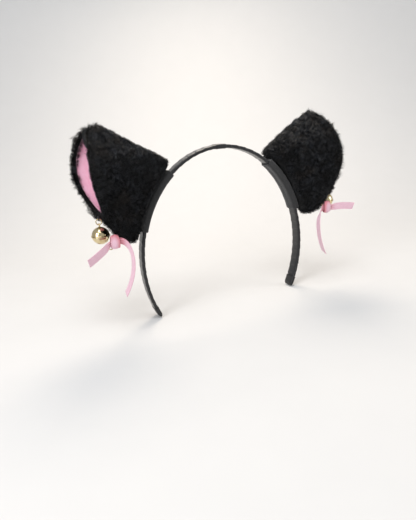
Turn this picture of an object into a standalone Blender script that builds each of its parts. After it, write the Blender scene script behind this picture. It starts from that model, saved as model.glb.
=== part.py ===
"""Cat-ear headband: a covered spring band, two cupped fur ears, two jingle bells and two ribbon bows.

Lengths are in millimetres in this file and become metres when a mesh is made.
X is the wearer's left, -Y the wearer's front and +Z up. The origin is the middle of the band's crown,
on the face that rests on the head. The left half is written out and the right half is its mirror.
"""
import math

import bpy
import numpy as np

# ---------------------------------------------------------------- driving dimensions
MILLIMETRE = 0.001
GAP = 0.3                      # air left between touching pieces

# band: half an ellipse, carried on past its widest point so that the ends close in behind the ears
HALF_WIDTH = 72.0              # inner half width at the widest
RISE = 86.0                    # from the widest level up to the crown
FLEX_ANGLE = 18.0              # where the crown ends and a leg begins, degrees from the crown
LEG_END_ANGLE = 119.5
SLEEVE_END_ANGLE = 114.0
CAP_END_ANGLE = 120.5
CAP_STEP = 0.25                # how far the end cap stands proud of the sleeve
SPLIT_ANGLE = 0.13             # half the saw cut between crown and leg
SLEEVE_WALL = 0.6
CORE_THICKNESS = 1.4
CORE_WIDTH = 8.6
SLEEVE_THICKNESS = CORE_THICKNESS + 2 * (GAP + SLEEVE_WALL)
SLEEVE_WIDTH = CORE_WIDTH + 2 * (GAP + SLEEVE_WALL)

# felt wrap that carries the ear
WRAP_START_ANGLE = 36.0
WRAP_END_ANGLE = 71.0
WRAP_WALL = 1.0
WRAP_SEAT = 2.2
EAR_SEAT = SLEEVE_THICKNESS + GAP + WRAP_SEAT + GAP

# ear: cup of fur cloth, foam and lining; every layer is measured inwards from the fur cloth's outer face
FUR_CLOTH = 1.6
FOAM = 1.2
LINING = 0.9
FOAM_START = FUR_CLOTH + GAP
LINING_START = FOAM_START + FOAM + GAP
HEM = 1.5                      # fur cloth turned in at the rim
HEM_STEP = 0.5
WIRE_RADIUS = 0.5
WIRE_INSET = HEM + HEM_STEP + GAP + WIRE_RADIUS + 1.0
FOAM_INSET = WIRE_INSET + WIRE_RADIUS + GAP + 1.6   # generous: the sections cross the rim at a slant
EAR_INSETS = [0.0, HEM, HEM + HEM_STEP, WIRE_INSET, FOAM_INSET]      # grid columns near each rim
EAR_SECTIONS = 15
EAR_WALL_POINTS = 6
NORMAL_PASSES = 3              # how often the wall direction is averaged with its neighbours

# jingle bell
BELL_CENTRE = np.array([103.4, -4.0, -54.6])
BELL_RADIUS = 6.6
BELL_WALL = 0.5
BELL_LIP = 0.5
LIP_DEPTH = 0.4
RIVET_RADIUS = 1.7
STEM_RADIUS = 0.7
SLOT_WIDTH = 1.2
SLOT_HOLE_RADIUS = 0.95
SLOT_REACH = 4.3
EYE_HOLE_RADIUS = 1.1
EYE_RADIUS = 1.35
EYE_WIRE = 0.35
RING_RADIUS = 2.1
RING_WIRE = 0.4
THREAD_RADIUS = 1.5
THREAD_WIRE = 0.4
LINK_PLAY = 0.3
PELLET_RADIUS = 1.6

# satin ribbon
RIBBON_WIDTH = 6.3
RIBBON_THICKNESS = 0.5
KNOT_CENTRE = np.array([95.6, -15.2, -58.4])
KNOT_HALF = np.array([3.3, 2.3, 5.4])
BOW_RING_CENTRE = np.array([98.3, -11.4, -62.2])
BOW_RING_RADIUS = 2.4
OUTER_TAIL = {                 # each bow is tied by hand, so the stiff outer tails point a little apart
    "left": [(104.0, -18.5, -58.0), (110.0, -22.0, -58.0), (116.5, -26.0, -59.1)],
    "right": [(103.5, -18.0, -62.5), (110.0, -21.0, -66.0), (117.5, -24.0, -69.1)],
}
INNER_TAIL = [(84.0, -18.0, -59.0), (81.5, -19.0, -74.0), (85.5, -18.0, -88.0), (92.6, -16.0, -100.0)]
INNER_LEAN = 72.0              # how far the hanging tail turns edge-on, degrees
INNER_TURN_SHARE = 0.5         # the part of its length over which it turns

# ---------------------------------------------------------------- materials


def make_material(name, colour, roughness, metallic=0.0):
    """A Principled material with one colour."""
    material = bpy.data.materials.new(name)
    material.use_nodes = True
    shader = material.node_tree.nodes["Principled BSDF"]
    shader.inputs["Base Color"].default_value = (*colour, 1.0)
    shader.inputs["Roughness"].default_value = roughness
    shader.inputs["Metallic"].default_value = metallic
    return material


# ---------------------------------------------------------------- objects


def empty_scene():
    """Remove whatever the scene holds."""
    for item in list(bpy.data.objects):
        bpy.data.objects.remove(item, do_unlink=True)


def make_pivot(name, centre, parent=None):
    """An empty on a joint's axis, at a world position in millimetres."""
    pivot = bpy.data.objects.new(name, None)
    bpy.context.scene.collection.objects.link(pivot)
    above = np.zeros(3)
    if parent is not None:
        pivot.parent = parent
        above = world_of(parent)
    pivot.location = (np.asarray(centre) - above) * MILLIMETRE
    return pivot


def world_of(pivot):
    """World position of an unturned pivot in millimetres, added up through its parents."""
    place = np.zeros(3)
    while pivot is not None:
        place = place + np.array(pivot.location) / MILLIMETRE
        pivot = pivot.parent
    return place


def make_object(name, points, faces, material, pivot=None, smooth=True):
    """A closed mesh from world points in millimetres, hung on its pivot."""
    points = np.asarray(points, dtype=float)
    origin = world_of(pivot)
    mesh = bpy.data.meshes.new(name)
    mesh.from_pydata(((points - origin) * MILLIMETRE).tolist(), [], [list(face) for face in faces])
    mesh.validate()
    if smooth:
        mesh.shade_smooth()
        mesh.set_sharp_from_angle(angle=math.radians(40))
    mesh.materials.append(material)
    item = bpy.data.objects.new(name, mesh)
    item.parent = pivot
    bpy.context.scene.collection.objects.link(item)
    return item


def mirrored(points, side):
    """Points of the left half, or their mirror for the right half."""
    return np.asarray(points, dtype=float) * np.array([side, 1.0, 1.0])


def outward(points, faces):
    """The same faces, turned over when the volume they enclose comes out negative."""
    volume = 0.0
    for face in faces:
        corners = points[list(face)]
        for k in range(1, len(face) - 1):
            volume += np.dot(corners[0], np.cross(corners[k], corners[k + 1]))
    return faces if volume > 0 else [tuple(reversed(face)) for face in faces]


def make_side(name, points, faces, side, material, pivot, smooth=True):
    """A piece of the left half or its mirror, with its faces pointing out."""
    points = mirrored(points, side)
    return make_object(name, points, outward(points, faces), material, pivot, smooth)


# ---------------------------------------------------------------- shapes


def bezier(controls, steps):
    """Points on a Bezier curve: each control weighted by its Bernstein polynomial."""
    controls = np.asarray(controls, dtype=float)
    degree = len(controls) - 1
    along = np.asarray(steps, dtype=float)[:, None]
    return sum(math.comb(degree, k) * (1 - along) ** (degree - k) * along ** k * controls[k]
               for k in range(degree + 1))


def resample(path, count):
    """The same path with points evenly spaced along its length."""
    steps = np.linalg.norm(np.diff(path, axis=0), axis=1)
    length = np.concatenate([[0.0], np.cumsum(steps)])
    wanted = np.linspace(0.0, length[-1], count)
    return np.stack([np.interp(wanted, length, path[:, axis]) for axis in range(3)], axis=1)


def rounded(path, window):
    """A path with its corners rounded by a running mean whose ends stay put."""
    half = window // 2
    head = 2 * path[0] - path[half:0:-1]
    tail = 2 * path[-1] - path[-2:-half - 2:-1]
    padded = np.concatenate([head, path, tail])
    kernel = np.ones(2 * half + 1) / (2 * half + 1)
    return np.stack([np.convolve(padded[:, axis], kernel, mode="valid") for axis in range(3)], axis=1)


def arch(angles, offset=0.0, across=0.0):
    """Points of the band's ellipse at angles from the crown, moved outwards and sideways."""
    turn = np.radians(np.asarray(angles, dtype=float))
    centre = np.stack([HALF_WIDTH * np.sin(turn), 0 * turn, RISE * (np.cos(turn) - 1)], axis=-1)
    normal = np.stack([RISE * np.sin(turn), 0 * turn, HALF_WIDTH * np.cos(turn)], axis=-1)
    normal = normal / np.linalg.norm(normal, axis=-1, keepdims=True)
    sideways = np.array([0.0, 1.0, 0.0])
    return centre + normal * np.asarray(offset)[..., None] + sideways * np.asarray(across)[..., None]


def ring_strip(first, second, count):
    """Quads that join two rings of points."""
    return [(first + k, first + (k + 1) % count, second + (k + 1) % count, second + k)
            for k in range(count)]


def band_profile(low, high, half_width, chamfer):
    """Eight corners of a chamfered bar: (outward, across)."""
    return [(low, -half_width + chamfer), (low, half_width - chamfer), (low + chamfer, half_width),
            (high - chamfer, half_width), (high, half_width - chamfer), (high, -half_width + chamfer),
            (high - chamfer, -half_width), (low + chamfer, -half_width)]


def band_rings(angles, profile):
    """One ring of profile points at every angle."""
    offset = np.array([corner[0] for corner in profile])
    across = np.array([corner[1] for corner in profile])
    return [arch(np.full(len(profile), angle), offset, across) for angle in angles]


def band_bar(angles, profile):
    """A solid bar that follows the arch, with flat ends."""
    rings = band_rings(angles, profile)
    count = len(profile)
    faces = []
    for k in range(len(rings) - 1):
        faces += ring_strip(k * count, (k + 1) * count, count)
    faces.append(tuple(reversed(range(count))))
    faces.append(tuple(range((len(rings) - 1) * count, len(rings) * count)))
    return np.concatenate(rings), faces


def band_tube(angles, outer, inner):
    """A tube that follows the arch, open at both ends."""
    outside = band_rings(angles, outer)
    inside = band_rings(angles, inner)
    count = len(outer)
    shift = len(angles) * count
    faces = []
    for k in range(len(angles) - 1):
        faces += ring_strip(k * count, (k + 1) * count, count)
        strip = ring_strip(shift + k * count, shift + (k + 1) * count, count)
        faces += [tuple(reversed(face)) for face in strip]
    last = (len(angles) - 1) * count
    faces += ring_strip(shift, 0, count)
    faces += ring_strip(last, shift + last, count)
    return np.concatenate(outside + inside), faces


def band_cup(angles, outer, inner, floor_angle):
    """A cap over the end of the band: closed past the last angle, hollow up to floor_angle."""
    outside = band_rings(angles, outer)
    inner_angles = [angle for angle in angles if angle < floor_angle] + [floor_angle]
    inside = band_rings(inner_angles, inner)
    count = len(outer)
    shift = len(outside) * count
    faces = []
    for k in range(len(outside) - 1):
        faces += ring_strip(k * count, (k + 1) * count, count)
    for k in range(len(inside) - 1):
        strip = ring_strip(shift + k * count, shift + (k + 1) * count, count)
        faces += [tuple(reversed(face)) for face in strip]
    faces += ring_strip(shift, 0, count)
    faces.append(tuple(range((len(outside) - 1) * count, len(outside) * count)))
    end = shift + (len(inside) - 1) * count
    faces.append(tuple(reversed(range(end, end + count))))
    return np.concatenate(outside + inside), faces


def tube(path, radius, sides, closed=False):
    """A round tube along a path: rings in the plane square to the path, ends filled if it is open."""
    path = np.asarray(path, dtype=float)
    count = len(path)
    if closed:
        tangent = np.roll(path, -1, axis=0) - np.roll(path, 1, axis=0)
    else:
        tangent = np.gradient(path, axis=0)
    tangent = tangent / np.linalg.norm(tangent, axis=1, keepdims=True)
    side = np.cross(tangent[0], [0.3, 0.9, 0.2])
    rings = []
    for k in range(count):
        side = side - tangent[k] * np.dot(side, tangent[k])
        side = side / np.linalg.norm(side)
        other = np.cross(tangent[k], side)
        turn = np.linspace(0, 2 * math.pi, sides, endpoint=False)[:, None]
        rings.append(path[k] + radius * (np.cos(turn) * side + np.sin(turn) * other))
    faces = []
    for k in range(count - 1):
        faces += ring_strip(k * sides, (k + 1) * sides, sides)
    if closed:
        start = np.linalg.norm(rings[-1][0] - rings[0], axis=1).argmin()
        last = (count - 1) * sides
        faces += [(last + k, last + (k + 1) % sides, (start + k + 1) % sides, (start + k) % sides)
                  for k in range(sides)]
    else:
        faces.append(tuple(reversed(range(sides))))
        faces.append(tuple(range((count - 1) * sides, count * sides)))
    return np.concatenate(rings), faces


def loop_path(centre, radius, first, second, count=14):
    """A circle round a centre in the plane of two unit directions."""
    turn = np.linspace(0, 2 * math.pi, count, endpoint=False)[:, None]
    return centre + radius * (np.cos(turn) * np.asarray(first) + np.sin(turn) * np.asarray(second))


def lathe(profile, centre, segments):
    """A closed profile of (radius, height) turned round a vertical axis; radius 0 makes a pole."""
    points = []
    starts = []
    for radius, height in profile:
        starts.append(len(points))
        if radius == 0:
            points.append((0.0, 0.0, height))
            continue
        for k in range(segments):
            turn = 2 * math.pi * k / segments
            points.append((radius * math.cos(turn), radius * math.sin(turn), height))
    faces = []
    pairs = list(zip(range(len(profile)), list(range(1, len(profile))) + [0]))
    for a, b in pairs:
        pole_a, pole_b = profile[a][0] == 0, profile[b][0] == 0
        if pole_a and pole_b:
            continue
        for k in range(segments):
            m = (k + 1) % segments
            if pole_a:
                faces.append((starts[a], starts[b] + m, starts[b] + k))
            elif pole_b:
                faces.append((starts[a] + k, starts[a] + m, starts[b]))
            else:
                faces.append((starts[a] + k, starts[a] + m, starts[b] + m, starts[b] + k))
    return np.array(points) + centre, faces


def ribbon_strip(path, across, width, thickness):
    """A flat ribbon: four corners per station, along a path, with a width direction at each station."""
    path = np.asarray(path, dtype=float)
    across = across / np.linalg.norm(across, axis=1, keepdims=True)
    tangent = np.gradient(path, axis=0)
    face = np.cross(tangent, across)
    face = face / np.linalg.norm(face, axis=1, keepdims=True)
    half = np.asarray(width)[:, None] / 2
    lift = face * thickness / 2
    points = np.stack([path - across * half - lift, path + across * half - lift,
                       path + across * half + lift, path - across * half + lift], axis=1).reshape(-1, 3)
    faces = []
    for k in range(len(path) - 1):
        faces += ring_strip(k * 4, (k + 1) * 4, 4)
    faces.append((3, 2, 1, 0))
    last = (len(path) - 1) * 4
    faces.append((last, last + 1, last + 2, last + 3))
    return points, faces


# ---------------------------------------------------------------- ear

FRONT_RIM = [(101.5, -13.0, -42.5), (104.5, -27.0, -28.0), (108.5, -31.0, -5.0), (104.5, -10.0, 15.0),
             (99.0, 6.0, 21.6)]
BACK_RIM = [(102.5, -2.5, -41.5), (111.5, 12.0, -30.0), (118.5, 23.0, -7.0), (109.5, 19.5, 14.0),
            (99.5, 15.0, 21.6)]
RIDGE = [(46.5, 7.0, -5.0), (71.0, 9.5, 9.0), (94.0, 10.5, 22.3)]
BOTTOM_EDGE = [(97.5, -8.0, -46.0), (92.5, -8.5, -56.0), (85.0, -5.0, -66.5)]
SPINE_ROUNDS = [5.0, 8.5, 12.0, 12.5, 11.5, 8.5, 6.5]     # bottom radius of the cup, from corner to tip


def ear_spine(count):
    """The cup's deepest line: along the bottom edge, up the band and out along the ridge to the tip."""
    seat = arch(np.linspace(74.0, 33.0, 30), np.full(30, EAR_SEAT), np.linspace(-2.0, 2.0, 30))
    ridge = bezier([seat[-1], *RIDGE], np.linspace(0.08, 1.0, 30))
    bottom = bezier([*BOTTOM_EDGE, seat[0]], np.linspace(0.0, 0.93, 20))
    path = resample(np.concatenate([bottom, seat, ridge]), 300)
    return resample(rounded(path, 24), count)


def ear_sections(count, fine=120):
    """Sections of the ear's outer face from the corner to the tip, each a fine line from front to back rim.

    A section is a round bottom at the spine, a quarter circle to each side, and two walls that run out
    to the rims on a smooth step.
    """
    steps = np.linspace(0.0, 1.0, count)
    front = resample(bezier(FRONT_RIM, np.linspace(0, 1, 80)), count)
    back = resample(bezier(BACK_RIM, np.linspace(0, 1, 80)), count)
    spine = ear_spine(count)
    round_wanted = np.interp(steps, np.linspace(0, 1, len(SPINE_ROUNDS)), SPINE_ROUNDS)
    middle = (front + back) / 2
    depth = middle - spine
    half = (front - back) / 2
    reach = np.linalg.norm(depth, axis=1)
    towards_rims = depth / reach[:, None]
    skew = np.sum(half * towards_rims, axis=1)
    side = half - towards_rims * skew[:, None]
    spread = np.linalg.norm(side, axis=1)
    side = side / spread[:, None]
    bottom = np.minimum(np.minimum(round_wanted, spread), 0.85 * reach)
    turn = np.linspace(0, math.pi / 2, fine // 2, endpoint=False)
    run = np.linspace(0, 1, fine // 2)
    along = np.concatenate([bottom[:, None] * (1 - np.cos(turn)),
                            bottom[:, None] + (reach - bottom)[:, None] * run], axis=1)
    step = run * run * (3 - 2 * run)
    aside = np.concatenate([bottom[:, None] * np.sin(turn),
                            bottom[:, None] + (spread - bottom)[:, None] * step], axis=1)
    share = np.concatenate([0 * turn, step])
    lines = []
    for sign in (1.0, -1.0):
        rise = (along + sign * skew[:, None] * share)[:, :, None]
        lines.append(spine[:, None] + towards_rims[:, None] * rise
                     + side[:, None] * (sign * aside)[:, :, None])
    return np.concatenate([lines[0][:, ::-1, :], lines[1][:, 1:, :]], axis=1)


def ear_grid(insets, count):
    """The outer face at stated distances from the rims, with outward normals, as (section, column)."""
    fine = ear_sections(count)
    steps = np.linalg.norm(np.diff(fine, axis=1), axis=2)
    length = np.concatenate([np.zeros((count, 1)), np.cumsum(steps, axis=1)], axis=1)
    total = length[:, -1]
    columns = []
    inner = np.linspace(0.0, 1.0, 2 * EAR_WALL_POINTS + 1)[1:-1]
    for row in range(count):
        near = np.array(insets)
        left = total[row] - 2 * near[-1]
        wanted = np.concatenate([near, near[-1] + left * inner, total[row] - near[::-1]])
        columns.append(np.stack([np.interp(wanted, length[row], fine[row, :, axis])
                                 for axis in range(3)], axis=1))
    grid = np.stack(columns)
    across = np.gradient(grid, axis=1)
    along = np.gradient(grid, axis=0)
    normal = np.cross(across, along)
    normal = normal / np.linalg.norm(normal, axis=2, keepdims=True)
    for _ in range(NORMAL_PASSES):
        padded = np.pad(normal, ((1, 1), (1, 1), (0, 0)), mode="edge")
        normal = normal * 2 + padded[:-2, 1:-1] + padded[2:, 1:-1] + padded[1:-1, :-2] + padded[1:-1, 2:]
        normal = normal / np.linalg.norm(normal, axis=2, keepdims=True)
    outwards = np.sum(normal * (grid - grid.mean(axis=(0, 1))), axis=2).sum()
    return grid, normal * np.sign(outwards)


def ear_layer(outer_depth, inner_depth, rows=slice(None), columns=slice(None)):
    """One closed layer of the cup: the outer face sunk by two depths, each one number or one per column."""
    grid, normal = ear_grid(EAR_INSETS, EAR_SECTIONS)
    full = grid.shape[1]
    depths = [np.broadcast_to(depth, full)[:, None] for depth in (outer_depth, inner_depth)]
    sheets = [(grid - normal * depth)[rows, columns] for depth in depths]
    row_count, column_count = sheets[0].shape[:2]
    shift = row_count * column_count
    faces = []
    for row in range(row_count - 1):
        for column in range(column_count - 1):
            a = row * column_count + column
            b = a + column_count
            for triangle in ((a, a + 1, b + 1), (a, b + 1, b)):     # the same diagonal in every layer
                faces.append(triangle)
                faces.append(tuple(corner + shift for corner in reversed(triangle)))
    border = [(0, column) for column in range(column_count)]
    border += [(row, column_count - 1) for row in range(1, row_count)]
    border += [(row_count - 1, column) for column in range(column_count - 2, -1, -1)]
    border += [(row, 0) for row in range(row_count - 2, 0, -1)]
    ids = [row * column_count + column for row, column in border]
    for a, b in zip(ids, ids[1:] + ids[:1]):
        faces.append((b, a, a + shift, b + shift))
    points = np.concatenate([sheet.reshape(-1, 3) for sheet in sheets])
    return points, outward(points, faces)


def make_ear(side, tag, leg, materials):
    """The four layers of one ear: fur cloth with its turned hem, rim wire, foam and lining."""
    lip = LINING_START - GAP
    fur_inner = np.full(2 * len(EAR_INSETS) + 2 * EAR_WALL_POINTS - 1, FUR_CLOTH)
    fur_inner[[0, 1, -1, -2]] = lip
    foam_columns = slice(len(EAR_INSETS) - 1, 1 - len(EAR_INSETS))
    layers = [("fur_cover", "fur", ear_layer(0.0, fur_inner)),
              ("foam_stiffener", "foam",
               ear_layer(FOAM_START, FOAM_START + FOAM, slice(2, -2), foam_columns)),
              ("pink_lining", "lining", ear_layer(LINING_START, LINING_START + LINING))]
    for name, finish, (points, faces) in layers:
        make_side(f"ear_{tag}_{name}", points, faces, side, materials[finish], leg)

    grid, normal = ear_grid(EAR_INSETS, EAR_SECTIONS)
    between = grid - normal * (FUR_CLOTH + LINING_START) / 2
    column = EAR_INSETS.index(WIRE_INSET)
    over_tip = (between[-2] + between[-1]) / 2
    path = np.concatenate([between[1:-1, column], over_tip[column:-column], between[-2:0:-1, -1 - column]])
    points, faces = tube(path, WIRE_RADIUS, 6)
    make_side(f"ear_{tag}_rim_wire", points, faces, side, materials["wire"], leg)


# ---------------------------------------------------------------- bell


def sphere_arc(radius, start, end, count):
    """(radius, height) points on a circle between two angles measured from the top."""
    turn = np.radians(np.linspace(start, end, count))
    return [(float(radius * math.sin(a)), float(radius * math.cos(a))) for a in turn]


def make_bell(side, tag, leg, materials):
    """Thread eye, jump ring, two half shells, eye and pellet, hanging from the ear's lower corner."""
    eye_centre = BELL_CENTRE + [0, 0, BELL_RADIUS + EYE_RADIUS]
    ring_low = eye_centre[2] + EYE_RADIUS - EYE_WIRE - LINK_PLAY - RING_WIRE
    ring_centre = np.array([BELL_CENTRE[0], BELL_CENTRE[1], ring_low + RING_RADIUS])
    ring_high = ring_centre[2] + RING_RADIUS
    thread_low = ring_high - RING_WIRE - LINK_PLAY - THREAD_WIRE
    thread_centre = np.array([BELL_CENTRE[0], BELL_CENTRE[1], thread_low + THREAD_RADIUS])

    ring_pivot = make_pivot(f"pivot_{tag}_ring", mirrored([*BELL_CENTRE[:2], thread_low], side), leg)
    bell_pivot = make_pivot(f"pivot_{tag}_bell", mirrored([*BELL_CENTRE[:2], ring_low], side), ring_pivot)
    pellet_pivot = make_pivot(f"pivot_{tag}_pellet", mirrored(BELL_CENTRE, side), bell_pivot)

    arc = loop_path(thread_centre, THREAD_RADIUS, (0, 1, 0), (0, 0, 1), 12)
    points, faces = tube(arc, THREAD_WIRE, 6, True)
    make_side(f"bell_{tag}_thread_eye", points, faces, side, materials["thread"], leg)
    points, faces = tube(loop_path(ring_centre, RING_RADIUS, (1, 0, 0), (0, 0, 1)), RING_WIRE, 6, True)
    make_side(f"bell_{tag}_jump_ring", points, faces, side, materials["gold"], ring_pivot)

    inner = BELL_RADIUS - BELL_WALL
    hole = math.degrees(math.asin(EYE_HOLE_RADIUS / BELL_RADIUS))
    seam = math.degrees(math.asin(GAP / 2 / BELL_RADIUS))
    lip_top = GAP / 2 + LIP_DEPTH
    top = sphere_arc(BELL_RADIUS, hole, 90 - math.degrees(math.asin(lip_top / BELL_RADIUS)), 6)
    top += [(BELL_RADIUS + BELL_LIP, lip_top), (BELL_RADIUS + BELL_LIP, GAP / 2)]
    top += sphere_arc(inner, 90 - seam, hole, 6)
    points, faces = lathe(top[::-1], BELL_CENTRE, 20)
    make_side(f"bell_{tag}_top_shell", points, faces, side, materials["gold"], bell_pivot)

    waist = 90 - math.degrees(math.asin(lip_top / BELL_RADIUS))
    bottom = [(radius, -height) for radius, height in sphere_arc(BELL_RADIUS, waist, 0, 6)]
    bottom[-1] = (0, bottom[-1][1])
    under = [(radius, -height) for radius, height in sphere_arc(inner, 0, 90 - seam, 6)]
    under[0] = (0, under[0][1])
    profile = [(BELL_RADIUS + BELL_LIP, -GAP / 2), (BELL_RADIUS + BELL_LIP, -lip_top)] + bottom + under
    points, faces = lathe(profile[::-1], BELL_CENTRE, 20)
    shell = make_side(f"bell_{tag}_bottom_shell", points, faces, side, materials["gold"], bell_pivot)
    cut_slots(shell, side, tag, bell_pivot)

    foot = BELL_RADIUS - BELL_WALL - GAP
    arc = loop_path(eye_centre, EYE_RADIUS, (0, 1, 0), (0, 0, 1), 12)
    points, faces = tube(arc, EYE_WIRE, 6, True)
    eye = make_side(f"bell_{tag}_eye", points, faces, side, materials["gold"], bell_pivot)
    rivet = [(0, foot - 0.45), (RIVET_RADIUS, foot - 0.45), (RIVET_RADIUS, foot - 0.1),
             (STEM_RADIUS, foot - 0.05), (STEM_RADIUS, BELL_RADIUS + EYE_WIRE), (0, BELL_RADIUS + EYE_WIRE)]
    points, faces = lathe(rivet, BELL_CENTRE, 12)
    stem = make_side(f"cutter_{tag}_stem", points, faces, side, materials["gold"], bell_pivot)
    combine(eye, stem, "UNION")

    ball_centre = BELL_CENTRE - [0, 0, inner - PELLET_RADIUS - GAP]
    ball = sphere_arc(PELLET_RADIUS, 0, 180, 7)
    ball[0] = (0, ball[0][1])
    ball[-1] = (0, ball[-1][1])
    points, faces = lathe(ball[::-1], ball_centre, 10)
    make_side(f"bell_{tag}_pellet", points, faces, side, materials["steel"], pellet_pivot)


def combine(target, tool, operation):
    """Apply a Boolean to the target and keep the tool as a hidden guide."""
    tool.hide_render = True
    tool.display_type = "WIRE"
    modifier = target.modifiers.new(operation.lower(), "BOOLEAN")
    modifier.operation = operation
    modifier.object = tool
    modifier.solver = "EXACT"


def cut_slots(shell, side, tag, pivot):
    """Two crossed slots under the bell, each with a round hole at both ends."""
    depth = BELL_RADIUS + 1.0
    for number, turn in enumerate((math.radians(35), math.radians(125))):
        along = np.array([math.cos(turn), math.sin(turn), 0.0])
        across = np.array([-math.sin(turn), math.cos(turn), 0.0])
        outline = []
        for end in (1, -1):
            start = math.asin(SLOT_WIDTH / 2 / SLOT_HOLE_RADIUS)
            for angle in np.linspace(-math.pi + start, math.pi - start, 9):
                outline.append(end * (along * (SLOT_REACH + SLOT_HOLE_RADIUS * math.cos(angle))
                                      + across * SLOT_HOLE_RADIUS * math.sin(angle)))
        count = len(outline)
        low = np.array(outline) + BELL_CENTRE - [0, 0, depth]
        high = np.array(outline) + BELL_CENTRE - [0, 0, 2.0]
        faces = ring_strip(0, count, count)
        faces += [tuple(reversed(range(count))), tuple(range(count, 2 * count))]
        tool = make_side(f"cutter_{tag}_slot_{number}", np.concatenate([low, high]), faces, side,
                         shell.data.materials[0], pivot, smooth=False)
        combine(shell, tool, "DIFFERENCE")


# ---------------------------------------------------------------- bow


def make_bow(side, tag, leg, materials):
    """A ribbon loop drawn tight as the knot, a stiff outer tail, a hanging inner tail and a gold ring."""
    turn = np.linspace(0, 2 * math.pi, 14, endpoint=False)
    height = np.sin(turn) * KNOT_HALF[2]
    forward = -np.sign(np.cos(turn)) * np.abs(np.cos(turn)) ** 0.8 * KNOT_HALF[1]
    rings = []
    for share, pull in ((-1.0, 0.86), (-0.75, 1.0), (0.75, 1.0), (1.0, 0.86)):
        beside = np.full(14, share * KNOT_HALF[0])
        rings.append(KNOT_CENTRE + np.stack([beside, forward * pull, height * pull], axis=1))
    faces = []
    for k in range(3):
        faces += ring_strip(k * 14, (k + 1) * 14, 14)
    faces += [tuple(reversed(range(14))), tuple(range(42, 56))]
    points = np.concatenate(rings)
    make_side(f"ribbon_{tag}_knot", points, faces, side, materials["ribbon"], leg)

    reach = KNOT_HALF[0] + GAP
    steps = np.linspace(0, 1, 9)
    outer = bezier([KNOT_CENTRE + [reach, -0.4, -1.2], *OUTER_TAIL[tag]], steps)
    across = steps[:, None] * np.array([0.22, -0.25, 0.12]) + np.array([0.0, -0.10, 1.0])
    width = np.interp(steps, [0, 0.25, 1], [4.2, RIBBON_WIDTH, RIBBON_WIDTH])
    points, faces = ribbon_strip(outer, across, width, RIBBON_THICKNESS)
    make_side(f"ribbon_{tag}_outer_tail", points, faces, side, materials["ribbon"], leg)

    steps = np.linspace(0, 1, 13)
    inner = bezier([KNOT_CENTRE + [-reach, -0.4, 0.4], *INNER_TAIL], steps)
    turned = np.clip(steps / INNER_TURN_SHARE, 0, 1)
    lean = np.radians(INNER_LEAN * turned)
    across = np.stack([-0.18 * turned, -np.sin(lean), np.cos(lean) * (1 - 0.9 * steps)], axis=1)
    width = np.interp(steps, [0, 0.2, 1], [4.6, RIBBON_WIDTH, RIBBON_WIDTH])
    points, faces = ribbon_strip(inner, across, width, RIBBON_THICKNESS)
    make_side(f"ribbon_{tag}_inner_tail", points, faces, side, materials["ribbon"], leg)

    ring = loop_path(BOW_RING_CENTRE, BOW_RING_RADIUS, (0.94, -0.34, 0.0), (0, 0, 1), 16)
    points, faces = tube(ring, RING_WIRE, 6, True)
    make_side(f"ribbon_{tag}_gold_ring", points, faces, side, materials["gold"], leg)


# ---------------------------------------------------------------- band


def make_band(legs, materials):
    """Crown and two legs: a plastic core in a satin sleeve, felt wraps under the ears and end caps."""
    core = band_profile(SLEEVE_WALL + GAP, SLEEVE_WALL + GAP + CORE_THICKNESS, CORE_WIDTH / 2, 0.4)
    outer = band_profile(0.0, SLEEVE_THICKNESS, SLEEVE_WIDTH / 2, 0.7)
    inner = band_profile(SLEEVE_WALL, SLEEVE_THICKNESS - SLEEVE_WALL, CORE_WIDTH / 2 + GAP, 0.3)
    crown = np.linspace(-FLEX_ANGLE + SPLIT_ANGLE, FLEX_ANGLE - SPLIT_ANGLE, 10)
    for name, shape, colour in (("core", band_bar(crown, core), "plastic"),
                                ("sleeve", band_tube(crown, outer, inner), "satin")):
        points, faces = shape
        make_object(f"band_crown_{name}", points, outward(points, faces), materials[colour])

    start = FLEX_ANGLE + SPLIT_ANGLE
    for side, tag, leg in legs:
        points, faces = band_bar(np.linspace(start, LEG_END_ANGLE, 22), core)
        make_side(f"band_{tag}_core", points, faces, side, materials["plastic"], leg)
        points, faces = band_tube(np.linspace(start, SLEEVE_END_ANGLE, 21), outer, inner)
        make_side(f"band_{tag}_sleeve", points, faces, side, materials["satin"], leg)
        cap_outer = band_profile(-CAP_STEP, SLEEVE_THICKNESS + CAP_STEP, SLEEVE_WIDTH / 2 + CAP_STEP, 0.9)
        cap_inner = band_profile(SLEEVE_WALL, SLEEVE_THICKNESS - SLEEVE_WALL, CORE_WIDTH / 2 + GAP, 0.3)
        angles = [SLEEVE_END_ANGLE + GAP, (SLEEVE_END_ANGLE + CAP_END_ANGLE) / 2, CAP_END_ANGLE]
        points, faces = band_cup(angles, cap_outer, cap_inner, LEG_END_ANGLE + GAP)
        make_side(f"band_{tag}_end_cap", points, faces, side, materials["plastic"], leg)
        wrap_outer = band_profile(-GAP - WRAP_WALL, SLEEVE_THICKNESS + GAP + WRAP_SEAT,
                                  SLEEVE_WIDTH / 2 + GAP + WRAP_WALL, 0.8)
        wrap_inner = band_profile(-GAP, SLEEVE_THICKNESS + GAP, SLEEVE_WIDTH / 2 + GAP, 0.3)
        points, faces = band_tube(np.linspace(WRAP_START_ANGLE, WRAP_END_ANGLE, 9), wrap_outer, wrap_inner)
        make_side(f"ear_{tag}_felt_wrap", points, faces, side, materials["felt"], leg)


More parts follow.
